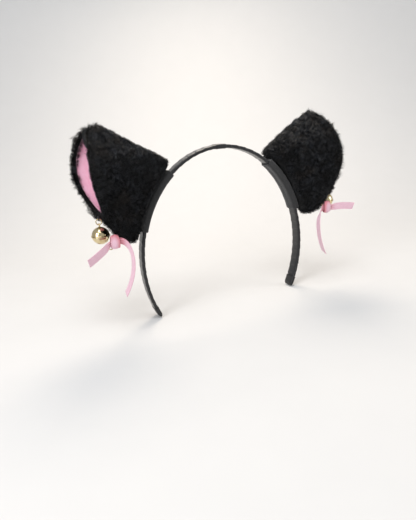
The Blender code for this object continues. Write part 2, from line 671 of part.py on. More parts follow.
def main():
    """Build the whole headband."""
    empty_scene()
    materials = {
        "plastic": make_material("black_plastic", (0.012, 0.012, 0.013), 0.45),
        "satin": make_material("black_satin", (0.010, 0.010, 0.012), 0.42),
        "felt": make_material("black_felt", (0.012, 0.012, 0.013), 0.95),
        "fur": make_material("black_fur", (0.010, 0.010, 0.012), 0.80),
        "foam": make_material("grey_foam", (0.20, 0.20, 0.20), 0.90),
        "lining": make_material("pink_plush", (0.86, 0.36, 0.52), 0.85),
        "wire": make_material("steel_wire", (0.45, 0.45, 0.46), 0.35, 1.0),
        "gold": make_material("gold_plate", (0.83, 0.62, 0.27), 0.18, 1.0),
        "steel": make_material("steel_ball", (0.50, 0.50, 0.50), 0.30, 1.0),
        "thread": make_material("black_thread", (0.02, 0.02, 0.02), 0.85),
        "ribbon": make_material("pink_satin", (0.85, 0.47, 0.58), 0.35),
    }
    hinge = arch([FLEX_ANGLE], np.array([SLEEVE_THICKNESS]), np.array([0.0]))[0]
    legs = []
    for side, tag in ((1, "left"), (-1, "right")):
        legs.append((side, tag, make_pivot(f"pivot_{tag}_leg", mirrored(hinge, side))))
    make_band(legs, materials)
    for side, tag, leg in legs:
        make_ear(side, tag, leg, materials)
        make_bell(side, tag, leg, materials)
        make_bow(side, tag, leg, materials)


main()
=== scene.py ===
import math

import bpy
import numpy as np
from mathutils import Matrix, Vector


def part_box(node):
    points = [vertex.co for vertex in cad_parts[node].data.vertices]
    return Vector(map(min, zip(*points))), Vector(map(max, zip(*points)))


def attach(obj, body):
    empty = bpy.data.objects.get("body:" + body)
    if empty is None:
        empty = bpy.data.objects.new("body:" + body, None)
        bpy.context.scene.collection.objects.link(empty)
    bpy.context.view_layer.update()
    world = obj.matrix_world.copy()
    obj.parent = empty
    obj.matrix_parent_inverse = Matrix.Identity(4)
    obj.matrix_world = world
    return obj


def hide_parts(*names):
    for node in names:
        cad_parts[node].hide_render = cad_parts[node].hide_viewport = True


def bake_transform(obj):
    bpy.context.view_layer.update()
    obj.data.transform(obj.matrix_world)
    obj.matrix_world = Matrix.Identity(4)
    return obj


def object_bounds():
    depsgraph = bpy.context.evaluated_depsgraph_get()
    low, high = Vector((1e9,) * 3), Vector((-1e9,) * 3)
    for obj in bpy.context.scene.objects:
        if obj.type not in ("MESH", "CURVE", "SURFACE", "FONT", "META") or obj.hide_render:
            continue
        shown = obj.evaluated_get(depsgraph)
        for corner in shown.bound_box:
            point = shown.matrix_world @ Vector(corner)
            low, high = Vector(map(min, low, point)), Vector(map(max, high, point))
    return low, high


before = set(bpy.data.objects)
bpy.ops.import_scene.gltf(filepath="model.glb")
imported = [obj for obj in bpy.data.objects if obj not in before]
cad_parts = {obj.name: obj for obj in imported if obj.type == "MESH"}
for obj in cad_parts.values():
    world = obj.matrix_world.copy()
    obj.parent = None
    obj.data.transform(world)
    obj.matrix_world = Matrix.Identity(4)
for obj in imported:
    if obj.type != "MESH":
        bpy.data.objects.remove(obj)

# %% [markdown]
# # Cat-ear headband
#
# A costume headband: a springy band in wound satin, two cupped ears of black pile cloth lined with pink
# plush, and at the lower corner of each ear a jingle bell and a small bow of satin ribbon.
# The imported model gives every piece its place. This lesson puts cloth, fur, metal and thread on it.
#
# Lengths are in millimetres in the shape functions and become metres when a mesh is made. X is the
# wearer's left, -Y the front, +Z up. The left half is worked out and the right half is its mirror.

MM = 0.001
cad_box = [list(corner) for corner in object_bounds()]
SIDES = (("left", 1.0), ("right", -1.0))
print("packed model spans", [round((b - a) / MM, 1) for a, b in zip(*cad_box)], "mm")


# %% [markdown]
# ## Meshes from arrays
# Every new piece is a set of points and faces worked out as whole arrays. One function turns them into
# a mesh, and turns the faces over if the volume they enclose comes out negative, which is what happens
# to the mirrored half.

# %% From arrays to a piece
def triangles_of(faces):
    """Every face array cut into triangles: quads give two, triangles stay."""
    parts = []
    for block in faces:
        parts.append(block[:, [0, 1, 2]])
        if block.shape[1] == 4:
            parts.append(block[:, [0, 2, 3]])
    return np.concatenate(parts)


def volume_of(points, faces):
    """Signed volume: a sixth of the sum of a . (b x c) over the triangles."""
    corners = (points - points.mean(axis=0))[triangles_of(faces)]
    return np.einsum("ij,ij->i", corners[:, 0], np.cross(corners[:, 1], corners[:, 2])).sum() / 6


def outward(points, faces):
    """The same faces, turned over when the volume they enclose comes out negative."""
    return [block[:, ::-1] for block in faces] if volume_of(points, faces) < 0 else faces


def build_mesh(name, points, faces, uv=None, values=None):
    """A mesh from points in millimetres and a list of quad and triangle arrays.

    uv gives two numbers for each point, values a name and one number for each point.
    """
    points = np.asarray(points, dtype=float)
    faces = outward(points, [np.asarray(block, dtype=np.int32) for block in faces])
    loops = np.concatenate([block.ravel() for block in faces])
    sizes = np.concatenate([np.full(len(block), block.shape[1]) for block in faces])
    mesh = bpy.data.meshes.new(name)
    mesh.vertices.add(len(points))
    mesh.vertices.foreach_set("co", (points * MM).ravel().astype(np.float32))
    mesh.loops.add(len(loops))
    mesh.loops.foreach_set("vertex_index", loops)
    mesh.polygons.add(len(sizes))
    mesh.polygons.foreach_set("loop_start", np.concatenate([[0], np.cumsum(sizes)[:-1]]).astype(np.int32))
    if uv is not None:
        layer = mesh.uv_layers.new(name="cloth")
        layer.data.foreach_set("uv", np.asarray(uv, dtype=np.float32)[loops].ravel())
    for label, numbers in (values or {}).items():
        attribute = mesh.attributes.new(label, "FLOAT", "POINT")
        attribute.data.foreach_set("value", np.asarray(numbers, dtype=np.float32))
    mesh.update(calc_edges=True)
    return mesh


def make_piece(name, points, faces, material, body, slot, replaces=(), sharp=50.0, uv=None, values=None):
    """A finished piece that rides on a body, stands for CAD nodes, takes the material; slot is not used.
    """
    mesh = build_mesh(name, points, faces, uv, values)
    mesh.shade_smooth()
    if sharp:
        mesh.set_sharp_from_angle(angle=math.radians(sharp))
    mesh.materials.append(material)
    piece = bpy.data.objects.new(name, mesh)
    bpy.context.scene.collection.objects.link(piece)
    if body:
        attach(piece, body)
    if replaces:
        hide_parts(*replaces)
    triangle_count = sum(len(block) * (block.shape[1] - 2) for block in faces)
    print(f"{name}: {triangle_count} triangles")
    return piece


def mirrored(points, side):
    """Points of the left half, or their mirror for the right half."""
    return np.asarray(points, dtype=float) * np.array([side, 1.0, 1.0])


def make_side(kind, label, hand, shape, material, part, slot, node=None, **extra):
    """A piece of one side, kind_side_label, from the left half's points and faces."""
    tag, side = hand
    points, faces = shape
    replaces = [f"{kind}_{tag}_{node}"] if node else ()
    return make_piece(f"{kind}_{tag}_{label}", mirrored(points, side), faces, material, f"{tag}_{part}",
                      slot, replaces, **extra)


def centre_of(node):
    """Middle of a CAD node's box, in millimetres."""
    low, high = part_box(node)
    return (np.array(low) + np.array(high)) / 2 / MM


# %% [markdown]
# ## Grids
# Most pieces are grids: rows along a path and columns round or across it. A closed tube joins its last
# column to its first; a sheet of cloth is two grids, one for each face, joined along the border.

# %% Grid faces
def grid_quads(rows, columns, wrap_rows=False, wrap_columns=False):
    """Quads (i, j), (i, j+1), (i+1, j+1), (i+1, j) over the whole grid."""
    i, j = np.meshgrid(np.arange(rows if wrap_rows else rows - 1),
                       np.arange(columns if wrap_columns else columns - 1), indexing="ij")
    below, beside = (i + 1) % rows, (j + 1) % columns
    return np.stack([i * columns + j, i * columns + beside, below * columns + beside,
                     below * columns + j], axis=-1).reshape(-1, 4)


def two_faced(front, back):
    """A closed sheet: a front grid, a back grid turned over, and quads along the shared border."""
    rows, columns = front.shape[:2]
    count = rows * columns
    quads = grid_quads(rows, columns)
    index = np.arange(count).reshape(rows, columns)
    border = np.concatenate([index[0, :-1], index[:-1, -1], index[-1, :0:-1], index[:0:-1, 0]])
    ahead = np.roll(border, -1)
    rim = np.stack([ahead, border, border + count, ahead + count], axis=1)
    points = np.concatenate([front.reshape(-1, 3), back.reshape(-1, 3)])
    return points, [np.concatenate([quads, quads[:, ::-1] + count, rim])]


def end_fans(columns, last, poles):
    """Triangles that close the first ring on one pole and the ring that starts at last on the next."""
    k = np.arange(columns)
    ahead = (k + 1) % columns
    return (np.stack([ahead, k, np.full(columns, poles)], axis=1),
            np.stack([last + k, last + ahead, np.full(columns, poles + 1)], axis=1))


def closed_tube(rings):
    """A tube from an array (row, column, 3), each end closed by triangles that meet at its middle."""
    rows, columns = rings.shape[:2]
    count = rows * columns
    points = np.concatenate([rings.reshape(-1, 3), [rings[0].mean(axis=0)], [rings[-1].mean(axis=0)]])
    first, last = end_fans(columns, count - columns, count)
    return points, [grid_quads(rows, columns, wrap_columns=True), np.concatenate([first, last])]


def sleeve_tube(outer, inner):
    """A tube with a wall: an outer and an inner grid of rings, joined by a ring of quads at each end."""
    rows, columns = outer.shape[:2]
    count = rows * columns
    k = np.arange(columns)
    ahead = (k + 1) % columns
    last = count - columns
    start = np.stack([k, count + k, count + ahead, ahead], axis=1)
    end = np.stack([last + k, last + ahead, count + last + ahead, count + last + k], axis=1)
    quads = grid_quads(rows, columns, wrap_columns=True)
    points = np.concatenate([outer.reshape(-1, 3), inner.reshape(-1, 3)])
    return points, [np.concatenate([quads, quads[:, ::-1] + count, start, end])]


# %% [markdown]
# ## Curves
# The ribbon tails and the ear's edges are Bezier curves; the band is half an ellipse carried on past its
# widest point; wires and threads are round tubes whose rings turn with the path.

# %% Paths
def unit(vectors):
    """Each vector divided by its length."""
    return vectors / np.linalg.norm(vectors, axis=-1, keepdims=True)


def bezier(controls, steps):
    """Each control weighted by its Bernstein polynomial, C(n, k) (1 - t)^(n - k) t^k."""
    controls = np.asarray(controls, dtype=float)
    degree = len(controls) - 1
    along = np.asarray(steps, dtype=float)[:, None]
    return sum(math.comb(degree, k) * (1 - along) ** (degree - k) * along ** k * controls[k]
               for k in range(degree + 1))


def resample(path, count):
    """The same path with points evenly spaced along its length."""
    length = np.concatenate([[0.0], np.cumsum(np.linalg.norm(np.diff(path, axis=0), axis=1))])
    wanted = np.linspace(0.0, length[-1], count)
    return np.stack([np.interp(wanted, length, path[:, axis]) for axis in range(3)], axis=1)


def rounded(path, window):
    """A path with its corners rounded by a running mean whose ends stay put."""
    half = window // 2
    head = 2 * path[0] - path[half:0:-1]
    tail = 2 * path[-1] - path[-2:-half - 2:-1]
    padded = np.concatenate([head, path, tail])
    kernel = np.ones(2 * half + 1) / (2 * half + 1)
    return np.stack([np.convolve(padded[:, axis], kernel, mode="valid") for axis in range(3)], axis=1)


def wire_rings(path, radius, sides, closed=False):
    """Rings of a round wire: centre + radius (cos a side + sin a other), side carried along the path."""
    path = np.asarray(path, dtype=float)
    steps = np.roll(path, -1, axis=0) - np.roll(path, 1, axis=0) if closed else np.gradient(path, axis=0)
    tangent = unit(steps)
    reference = np.broadcast_to(np.array([0.3, 0.9, 0.2]), path.shape)
    spread = np.abs(np.einsum("ij,ij->i", tangent, reference))
    if spread.max() > 0.93:
        reference = np.broadcast_to(np.array([0.9, 0.1, -0.4]), path.shape)
    side = unit(np.cross(tangent, reference))
    other = np.cross(tangent, side)
    turn = np.linspace(0, 2 * math.pi, sides, endpoint=False)
    radius = np.broadcast_to(np.asarray(radius, dtype=float), len(path))[:, None, None]
    return path[:, None] + radius * (np.cos(turn)[None, :, None] * side[:, None]
                                     + np.sin(turn)[None, :, None] * other[:, None])


def closed_loop(rings):
    """A ring-shaped tube: rows and columns both join up."""
    rows, columns = rings.shape[:2]
    return rings.reshape(-1, 3), [grid_quads(rows, columns, wrap_rows=True, wrap_columns=True)]


def stack_pieces(pieces):
    """Several (points, faces) as one, each one's faces moved on by the points before it."""
    points, blocks, start = [], {3: [], 4: []}, 0
    for piece_points, faces in pieces:
        points.append(piece_points)
        for block in faces:
            blocks[block.shape[1]].append(np.asarray(block) + start)
        start += len(piece_points)
    return np.concatenate(points), [np.concatenate(block) for block in blocks.values() if block]


# %% [markdown]
# ## Shader maths as Python
# A material is easier to read as a formula than as a list of nodes. The class below wraps one socket;
# adding, multiplying or subtracting sockets adds the Math nodes. Colours are mixed with Mix nodes,
# because a Math node would turn them grey.

# %% A small language for materials
class Value:
    """One output socket of a material, with arithmetic."""

    def __init__(self, finish, socket):
        self.finish, self.socket = finish, socket

    def _math(self, operation, *operands):
        return self.finish.node("ShaderNodeMath", {"operation": operation}, dict(enumerate(operands)))

    def __add__(self, other):
        return self._math("ADD", self, other)

    def __sub__(self, other):
        return self._math("SUBTRACT", self, other)

    def __rsub__(self, other):
        return self._math("SUBTRACT", other, self)

    def __mul__(self, other):
        return self._math("MULTIPLY", self, other)

    __radd__, __rmul__ = __add__, __mul__

    def above(self, low, high):
        """0 below low, 1 above high, smooth between."""
        return self.finish.node("ShaderNodeMapRange", {"interpolation_type": "SMOOTHSTEP"},
                                {"Value": self, "From Min": low, "From Max": high})

    def wave(self):
        """Sine of the value."""
        return self._math("SINE", self)

    def size(self):
        """The value without its sign."""
        return self._math("ABSOLUTE", self)


class Finish:
    """A Principled material that is filled in by formulas."""

    def __init__(self, name, **constants):
        self.material = bpy.data.materials.new(name)
        self.material.use_nodes = True
        self.tree = self.material.node_tree
        self.shader = self.tree.nodes["Principled BSDF"]
        for label, number in constants.items():
            socket = label.replace("_", " ").title().replace("Ior", "IOR")
            self.shader.inputs[socket].default_value = number

    def node(self, kind, settings=None, inputs=None, output=0):
        """Any node: its settings first, then values or links for its sockets; gives one output."""
        made = self.tree.nodes.new(kind)
        for label, setting in (settings or {}).items():
            setattr(made, label, setting)
        for label, wanted in (inputs or {}).items():
            if isinstance(wanted, Value):
                self.tree.links.new(wanted.socket, made.inputs[label])
            elif wanted is not None:
                made.inputs[label].default_value = wanted
        return Value(self, made.outputs[output])

    def place(self):
        """Object coordinates, in metres."""
        return self.node("ShaderNodeTexCoord", output="Object")

    def along_cloth(self, axis):
        """One of the cloth's own two directions."""
        uv = self.node("ShaderNodeUVMap", {"uv_map": "cloth"})
        return self.node("ShaderNodeSeparateXYZ", inputs={0: uv}, output=axis)

    def given(self, label):
        """A number that the mesh carries at each point."""
        return self.node("ShaderNodeAttribute", {"attribute_name": label}, output="Fac")

    def noise(self, scale, detail=3.0, where=None, rough=0.5):
        """Soft random blotches, scale in blotches for each metre, averaging about a half."""
        return self.node("ShaderNodeTexNoise", inputs={"Vector": where or self.place(), "Scale": scale,
                                                       "Detail": detail, "Roughness": rough})

    def cells(self, scale):
        """Distance to the nearest of many scattered points."""
        return self.node("ShaderNodeTexVoronoi", inputs={"Vector": self.place(), "Scale": scale})

    def blend(self, share, first, second):
        """A colour between two, by a share from 0 to 1."""
        made = self.tree.nodes.new("ShaderNodeMix")
        made.data_type = "RGBA"
        for number, wanted in zip((0, 6, 7), (share, first, second)):
            if isinstance(wanted, Value):
                self.tree.links.new(wanted.socket, made.inputs[number])
            else:
                value = (*wanted, 1.0) if isinstance(wanted, tuple) else wanted
                made.inputs[number].default_value = value
        return Value(self, made.outputs[2])

    def feed(self, label, value):
        """Lead a value into the shader."""
        self.tree.links.new(value.socket, self.shader.inputs[label])
        return self

    def bump(self, height, strength, distance):
        """Relief in millimetres on the shader's normal."""
        relief = self.node("ShaderNodeBump", inputs={"Strength": strength, "Distance": distance * MM,
                                                     "Height": height}, output="Normal")
        return self.feed("Normal", relief)


# %% [markdown]
# ## The black pile
# The ears are covered in black acrylic pile cloth. Single fibres shine coldly where the light grazes
# them, and the mass of the pile is almost black. Each hair carries its own shade and its distance from
# the root, so the formula can darken the roots with painted shade, as if deep in the pile, and warm a
# few tips.

# %% Fur finishes
def fur_finish():
    """Painted shade at the roots, nearly black; charcoal tips, a few hairs warm brown or cold grey."""
    fur = Finish("black_fur", roughness=0.4, sheen_weight=0.02, sheen_roughness=0.4,
                 specular_ior_level=0.42)
    shade, along = fur.given("shade"), fur.given("along")
    cold = fur.blend(shade, (0.0008, 0.0009, 0.0013), (0.026, 0.030, 0.038))
    warm = fur.blend(fur.noise(90.0).above(0.52, 0.7) * along, cold, (0.022, 0.016, 0.012))
    # painted shade: the root end of every hair is blended to near black, as if shaded deep in the pile
    fur.feed("Base Color", fur.blend(along.above(0.0, 0.9), (0.0012, 0.0012, 0.0015), warm))
    fur.feed("Roughness", 0.52 - 0.22 * shade)
    return fur.material


def backing_finish():
    """The knitted ground that the pile stands in: black, dull, with fine rows of loops."""
    ground = Finish("black_fur_backing", roughness=0.95)
    loops = ground.cells(1400.0)
    ground.feed("Base Color", ground.blend(loops.above(0.0, 0.6), (0.002, 0.002, 0.0023),
                                           (0.005, 0.005, 0.0055)))
    ground.feed("Roughness", 0.85 + 0.1 * loops)
    return ground.bump(loops, 0.6, 0.2).material


FUR, BACKING = fur_finish(), backing_finish()
print("fur finishes:", FUR.name, BACKING.name)


# %% [markdown]
# ## The pink plush lining
# The inside of each ear is a short pink plush, pale where the nap catches the light and rosier down in
# the fold. A soft cloudy noise moves between the two, and a finer one gives the nap its grain.

# %% Plush finish
def plush_finish():
    """Pale pink nap with rosier hollows and a fine grain."""
    plush = Finish("pink_plush", roughness=0.85, sheen_weight=0.6, sheen_roughness=0.5)
    cloud, grain = plush.noise(160.0), plush.noise(2200.0, 2.0)
    base = plush.blend(cloud.above(0.3, 0.7), (0.92, 0.46, 0.62), (0.97, 0.57, 0.73))
    plush.feed("Base Color", plush.blend(grain.above(0.35, 0.75), base, (0.99, 0.68, 0.81)))
    plush.feed("Roughness", 0.75 + 0.2 * grain)
    return plush.bump(grain + 0.5 * cloud, 0.5, 0.25).material


def nap_finish():
    """Single fibres of the plush, pale at the tip and darker at the root as painted shade."""
    nap = Finish("pink_nap", roughness=0.7, sheen_weight=0.4)
    shade, along = nap.given("shade"), nap.given("along")
    tip = nap.blend(shade, (0.94, 0.52, 0.68), (0.99, 0.70, 0.83))
    # painted shade: darker pink at the root, paler towards the tip
    nap.feed("Base Color", nap.blend(along, (0.91, 0.44, 0.60), tip))
    nap.feed("Roughness", 0.8 - 0.15 * shade)
    return nap.material


PLUSH, NAP = plush_finish(), nap_finish()
print("plush finishes:", PLUSH.name, NAP.name)


# %% [markdown]
# ## Satin
# Satin ribbon is woven with long floating threads that run along the ribbon, so it shines in streaks
# along its length. The colour has these streaks painted in as painted sheen, and on the bow the folds
# carry painted shade. Each edge has a selvedge, a narrow tighter weave. The pattern follows the cloth's
# own two directions: across from 0 to 1, along in millimetres.

# %% Ribbon and sleeve satin
def satin_finish(name, dark, light, edge, painted_shade, gloss, width):
    """Painted sheen in streaks along it, fine weft ribs, selvedges at both edges, painted shade in folds.
    """
    satin = Finish(name, roughness=gloss, sheen_weight=0.3, sheen_roughness=0.3)
    across, along = satin.along_cloth("X"), satin.along_cloth("Y")
    streak_place = satin.node("ShaderNodeCombineXYZ", inputs={0: across * (width * 9.0), 1: along * 0.35})
    streak = satin.noise(1.0, 3.0, streak_place)
    ribs = (along * (2 * math.pi / 0.42)).wave()
    selvedge = (across - 0.5).size().above(0.455, 0.47)
    # painted sheen: streaks painted lighter and darker into the colour, as well as in roughness and bump
    body = satin.blend(streak.above(0.3, 0.7), dark, light)
    woven = satin.blend(selvedge * 0.55, body, edge)
    # painted shade: the mesh's fold value blends the satin towards the darker fold colour
    satin.feed("Base Color", satin.blend(satin.given("fold"), woven, painted_shade))
    satin.feed("Roughness", (streak * 0.16 + (gloss - 0.08)) + selvedge * 0.14)
    beads = selvedge * (along * (2 * math.pi / 0.6)).wave()
    return satin.bump(ribs * 0.25 + streak * 0.5 + beads * 0.8 + selvedge * 0.9, 0.35, 0.06).material


RIBBON = satin_finish("pink_satin", (0.68, 0.41, 0.50), (0.82, 0.56, 0.66), (0.74, 0.42, 0.50),
                      (0.62, 0.19, 0.23), 0.34, 6.3)
SATIN = satin_finish("black_satin", (0.004, 0.004, 0.005), (0.010, 0.010, 0.012), (0.006, 0.006, 0.008),
                     (0.003, 0.003, 0.004), 0.30, 11.0)
print("satin finishes:", RIBBON.name, SATIN.name)


# %% [markdown]
# ## Gold-plated metal
# The bells are stamped brass with a thin pale gold plating. Plating is never quite even: it is a little
# redder in patches, with hairline scratches and duller spots where fingers have been.

# %% Metal, plastic, felt, thread and foam finishes
def gold_finish():
    """Pale gold with redder patches, hairline scratches and finger marks."""
    gold = Finish("gold_plate", metallic=1.0, roughness=0.15)
    patch, mark = gold.noise(230.0, 2.0), gold.noise(700.0, 4.0)
    stretch = gold.node("ShaderNodeMapping", inputs={"Vector": gold.place(), "Rotation": (0.5, 0.3, 0.9),
                                                     "Scale": (9000.0, 500.0, 700.0)})
    scratch = gold.noise(1.0, 2.0, stretch)
    gold.feed("Base Color", gold.blend(patch.above(0.35, 0.7), (0.74, 0.63, 0.40), (0.66, 0.52, 0.29)))
    gold.feed("Roughness", 0.08 + 0.16 * mark.above(0.4, 0.8) + 0.06 * scratch)
    return gold.bump(scratch * 0.3 + mark, 0.12, 0.03).material


def steel_finish(name, colour):
    """Ground steel with a faint grain."""
    steel = Finish(name, metallic=1.0, roughness=0.35)
    grain = steel.noise(1500.0, 3.0)
    steel.feed("Base Color", steel.blend(grain, colour, tuple(0.7 * c for c in colour)))
    steel.feed("Roughness", 0.25 + 0.2 * grain)
    return steel.bump(grain, 0.1, 0.03).material


def plastic_finish():
    """Moulded black plastic with a fine spark-eroded grain."""
    plastic = Finish("black_plastic", roughness=0.45, specular_ior_level=0.45)
    grain, wear = plastic.noise(2600.0, 2.0), plastic.noise(140.0, 3.0)
    plastic.feed("Base Color", plastic.blend(wear.above(0.45, 0.75), (0.010, 0.010, 0.011),
                                             (0.022, 0.022, 0.023)))
    plastic.feed("Roughness", 0.36 + 0.2 * grain)
    return plastic.bump(grain, 0.25, 0.05).material


def felt_finish():
    """Pressed black felt: matted fibres, some a little lighter."""
    felt = Finish("black_felt", roughness=0.95, sheen_weight=0.25, sheen_roughness=0.6)
    mat, fibre = felt.noise(420.0, 4.0, rough=0.7), felt.noise(2600.0, 3.0, rough=0.7)
    felt.feed("Base Color", felt.blend(fibre.above(0.45, 0.75), (0.005, 0.005, 0.006),
                                       (0.018, 0.018, 0.020)))
    felt.feed("Roughness", 0.85 + 0.12 * mat)
    return felt.bump(fibre + mat, 0.7, 0.25).material


def thread_finish(name, dark, light):
    """Twisted thread: the ply shows as slanting bands."""
    thread = Finish(name, roughness=0.7, sheen_weight=0.2)
    ply = thread.noise(3000.0, 2.0)
    thread.feed("Base Color", thread.blend(ply.above(0.35, 0.65), dark, light))
    thread.feed("Roughness", 0.6 + 0.25 * ply)
    return thread.bump(ply, 0.4, 0.05).material


def foam_finish():
    """Grey open-cell foam."""
    foam = Finish("grey_foam", roughness=0.95)
    pores = foam.cells(1900.0)
    foam.feed("Base Color", foam.blend(pores.above(0.1, 0.5), (0.12, 0.12, 0.125), (0.24, 0.24, 0.245)))
    foam.feed("Roughness", 0.85 + 0.1 * pores)
    return foam.bump(pores, 0.7, 0.2).material


GOLD = gold_finish()
STEEL_WIRE = steel_finish("steel_wire", (0.45, 0.45, 0.46))
STEEL_BALL = steel_finish("steel_ball", (0.55, 0.55, 0.56))
PLASTIC, FELT, FOAM = plastic_finish(), felt_finish(), foam_finish()
THREAD = thread_finish("black_thread", (0.006, 0.006, 0.007), (0.03, 0.03, 0.032))
print("metals and the rest:",
      [made.name for made in (GOLD, STEEL_WIRE, STEEL_BALL, PLASTIC, FELT, FOAM, THREAD)])


# %% [markdown]
# ## The band
# The band is a strip of springy plastic wound from crown to tip with black satin ribbon, each turn lying
# half over the last. A turn's upper edge stands a little proud, so the outline steps once a turn. The
# cross-section is a rounded rectangle, written as a superellipse.

# %% Rounded bar along the band's ellipse
HALF_WIDTH, RISE = 72.0, 86.0            # the ellipse of the band's inner face
SLEEVE_THICKNESS, SLEEVE_WIDTH = 3.2, 10.4
SLEEVE_WALL = 0.55
SLEEVE_END_ANGLE = 114.0


def arch(angles, offset=0.0, across=0.0):
    """(72 sin a, 0, 86 (cos a - 1)), moved outwards along the ellipse's normal and sideways along Y."""
    turn = np.radians(np.asarray(angles, dtype=float))
    centre = np.stack([HALF_WIDTH * np.sin(turn), 0 * turn, RISE * (np.cos(turn) - 1)], axis=-1)
    normal = unit(np.stack([RISE * np.sin(turn), 0 * turn, HALF_WIDTH * np.cos(turn)], axis=-1))
    return (centre + normal * np.asarray(offset)[..., None]
            + np.array([0.0, 1.0, 0.0]) * np.asarray(across)[..., None])


def superellipse(turn, thickness, width, power):
    """(thickness/2 sign(cos) |cos|^(2/power), width/2 sign(sin) |sin|^(2/power))."""
    c, s = np.cos(turn), np.sin(turn)
    return (thickness / 2 * np.sign(c) * np.abs(c) ** (2 / power),
            width / 2 * np.sign(s) * np.abs(s) ** (2 / power))


def bar_rings(angles, columns, low, high, width, power=5.0, swell=0.0):
    """Rings of a rounded bar along the arch between two offsets, grown by swell at each point."""
    turn = np.linspace(0, 2 * math.pi, columns, endpoint=False)
    up, aside = superellipse(turn, high - low, width, power)
    grow = 1 + np.asarray(swell) / (width / 2)
    up_grow = 1 + np.asarray(swell) / ((high - low) / 2)
    angle = np.broadcast_to(np.asarray(angles)[:, None], (len(angles), columns))
    return arch(angle, (low + high) / 2 + up[None] * up_grow, aside[None] * grow)


def arc_length(angles):
    """Length along the ellipse from the first angle, in millimetres."""
    steps = np.linalg.norm(np.diff(arch(angles), axis=0), axis=1)
    return np.concatenate([[0.0], np.cumsum(steps)])


# %% The wound satin, in two halves
WIND_PITCH, WIND_STEP, WIND_COLUMNS, WIND_ROWS = 7.0, 0.26, 36, 400
WIND_ANGLES = np.linspace(0.25, SLEEVE_END_ANGLE, WIND_ROWS)
BLEND_FROM, BLEND_TO = 13.5, 23.0        # the stretch of the band that bends


def wound_satin():
    """Outer face: the bar sunk by step (1 - f), f the fraction of a turn; inner face: a plain bar."""
    along = arc_length(WIND_ANGLES)[:, None]
    turn = np.linspace(0, 1, WIND_COLUMNS, endpoint=False)[None]
    phase = (along / WIND_PITCH + turn) % 1.0
    step = np.clip(phase / 0.9, 0, 1) * np.clip((1 - phase) / 0.1, 0, 1)
    crease = 0.05 * np.sin(2 * math.pi * 3 * phase) * np.sin(2 * math.pi * (along / 31.0 + 2 * turn))
    outer = bar_rings(WIND_ANGLES, WIND_COLUMNS, 0.0, SLEEVE_THICKNESS, SLEEVE_WIDTH,
                      swell=WIND_STEP * (step - 1) + crease)
    inner = bar_rings(WIND_ANGLES, WIND_COLUMNS, SLEEVE_WALL, SLEEVE_THICKNESS - SLEEVE_WALL,
                      SLEEVE_WIDTH - 2 * SLEEVE_WALL)
    uv = np.stack([phase, np.broadcast_to(along * 0.4 + turn * 24.0, phase.shape)], axis=-1)
    points, faces = sleeve_tube(outer, inner)
    return points, faces, np.concatenate([uv, uv]).reshape(-1, 2)


satin_points, satin_faces, satin_uv = wound_satin()
for tag, side in SIDES:
    nodes = [f"band_{tag}_sleeve"] + (["band_crown_sleeve"] if tag == "left" else [])
    piece = make_piece(f"band_{tag}_wound_satin", mirrored(satin_points, side), satin_faces, SATIN, None,
                       "black_satin", nodes, uv=satin_uv)
    ends = [mirrored(arch([angle], [SLEEVE_THICKNESS], [0.0])[0], side) * MM
            for angle in (BLEND_FROM, BLEND_TO)]
    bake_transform(piece)

# %% [markdown]
# A short turn of the same ribbon covers the place where the two windings meet at the top.

# %% Crown binding and end caps
BINDING_HALF = 3.4
binding_angles = np.linspace(-BINDING_HALF, BINDING_HALF, 25)
edge_fall = np.clip((BINDING_HALF - np.abs(binding_angles)) / 0.35, 0, 1)[:, None]
ridge = 0.06 * np.cos(binding_angles[:, None] * 5.0)
binding_outer = bar_rings(binding_angles, WIND_COLUMNS, 0.0, SLEEVE_THICKNESS, SLEEVE_WIDTH,
                          swell=0.08 + (0.26 + ridge) * edge_fall)
binding_inner = bar_rings(binding_angles, WIND_COLUMNS, 0.0, SLEEVE_THICKNESS, SLEEVE_WIDTH, swell=0.03)
points, faces = sleeve_tube(binding_outer, binding_inner)
across = (binding_angles / BINDING_HALF + 1) / 2
uv = np.stack(np.broadcast_arrays(across[:, None], np.linspace(0, 26, WIND_COLUMNS)[None]), axis=-1)
make_piece("band_crown_binding", points, faces, SATIN, "crown", "black_satin",
           uv=np.concatenate([uv, uv]).reshape(-1, 2))

CAP_START, CAP_END = 114.3, 120.5
share = np.linspace(0, 1, 22)
round_off = np.where(share > 0.6, 1 - np.sqrt(np.clip(1 - ((share - 0.6) / 0.4) ** 2, 0, 1)), 0)
cap_bead = 0.16 * np.exp(-((share - 0.08) / 0.05) ** 2)
cap_shape = closed_tube(bar_rings(CAP_START + (CAP_END - CAP_START) * share, 40, -0.25,
                                  SLEEVE_THICKNESS + 0.25, SLEEVE_WIDTH + 0.5, 4.0,
                                  swell=(cap_bead - 1.7 * round_off)[:, None]))
for hand in SIDES:
    make_side("band", "tip", hand, cap_shape, PLASTIC, "leg", "black_plastic", "end_cap")


# %% [markdown]
# ## The felt that carries the ears
# A patch of black felt is folded round the band under each ear and whip-stitched shut along the side that
# rests on the head. Felt has no grain, only a lumpy surface and a few loose fibres.

# %% Felt wraps and their stitches
WRAP_FROM, WRAP_TO, WRAP_WALL, WRAP_SEAT, GAP = 36.0, 71.0, 1.0, 2.2, 0.3


def lumps(points, scale, seed):
    """Smooth bumps between -1 and 1: the mean of sines of the place along five random directions."""
    rng = np.random.default_rng(seed)
    directions = unit(rng.normal(size=(5, 3))) * rng.uniform(0.6, 1.6, (5, 1)) * 2 * math.pi / scale
    shifts = rng.uniform(0, 2 * math.pi, 5)
    return np.sin(points @ directions.T + shifts).mean(axis=-1)


def stitch(start, end, lift, radius=0.19, rows=9):
    """One stitch: a thread that rises from start, humps by lift and goes in at end."""
    share = np.linspace(0, 1, rows)[:, None]
    path = start + (end - start) * share + lift * np.sin(math.pi * share) ** 0.7
    thickness = radius * np.sin(math.pi * np.linspace(0.12, 0.88, rows)) ** 0.4
    return closed_tube(wire_rings(path, thickness, 6))


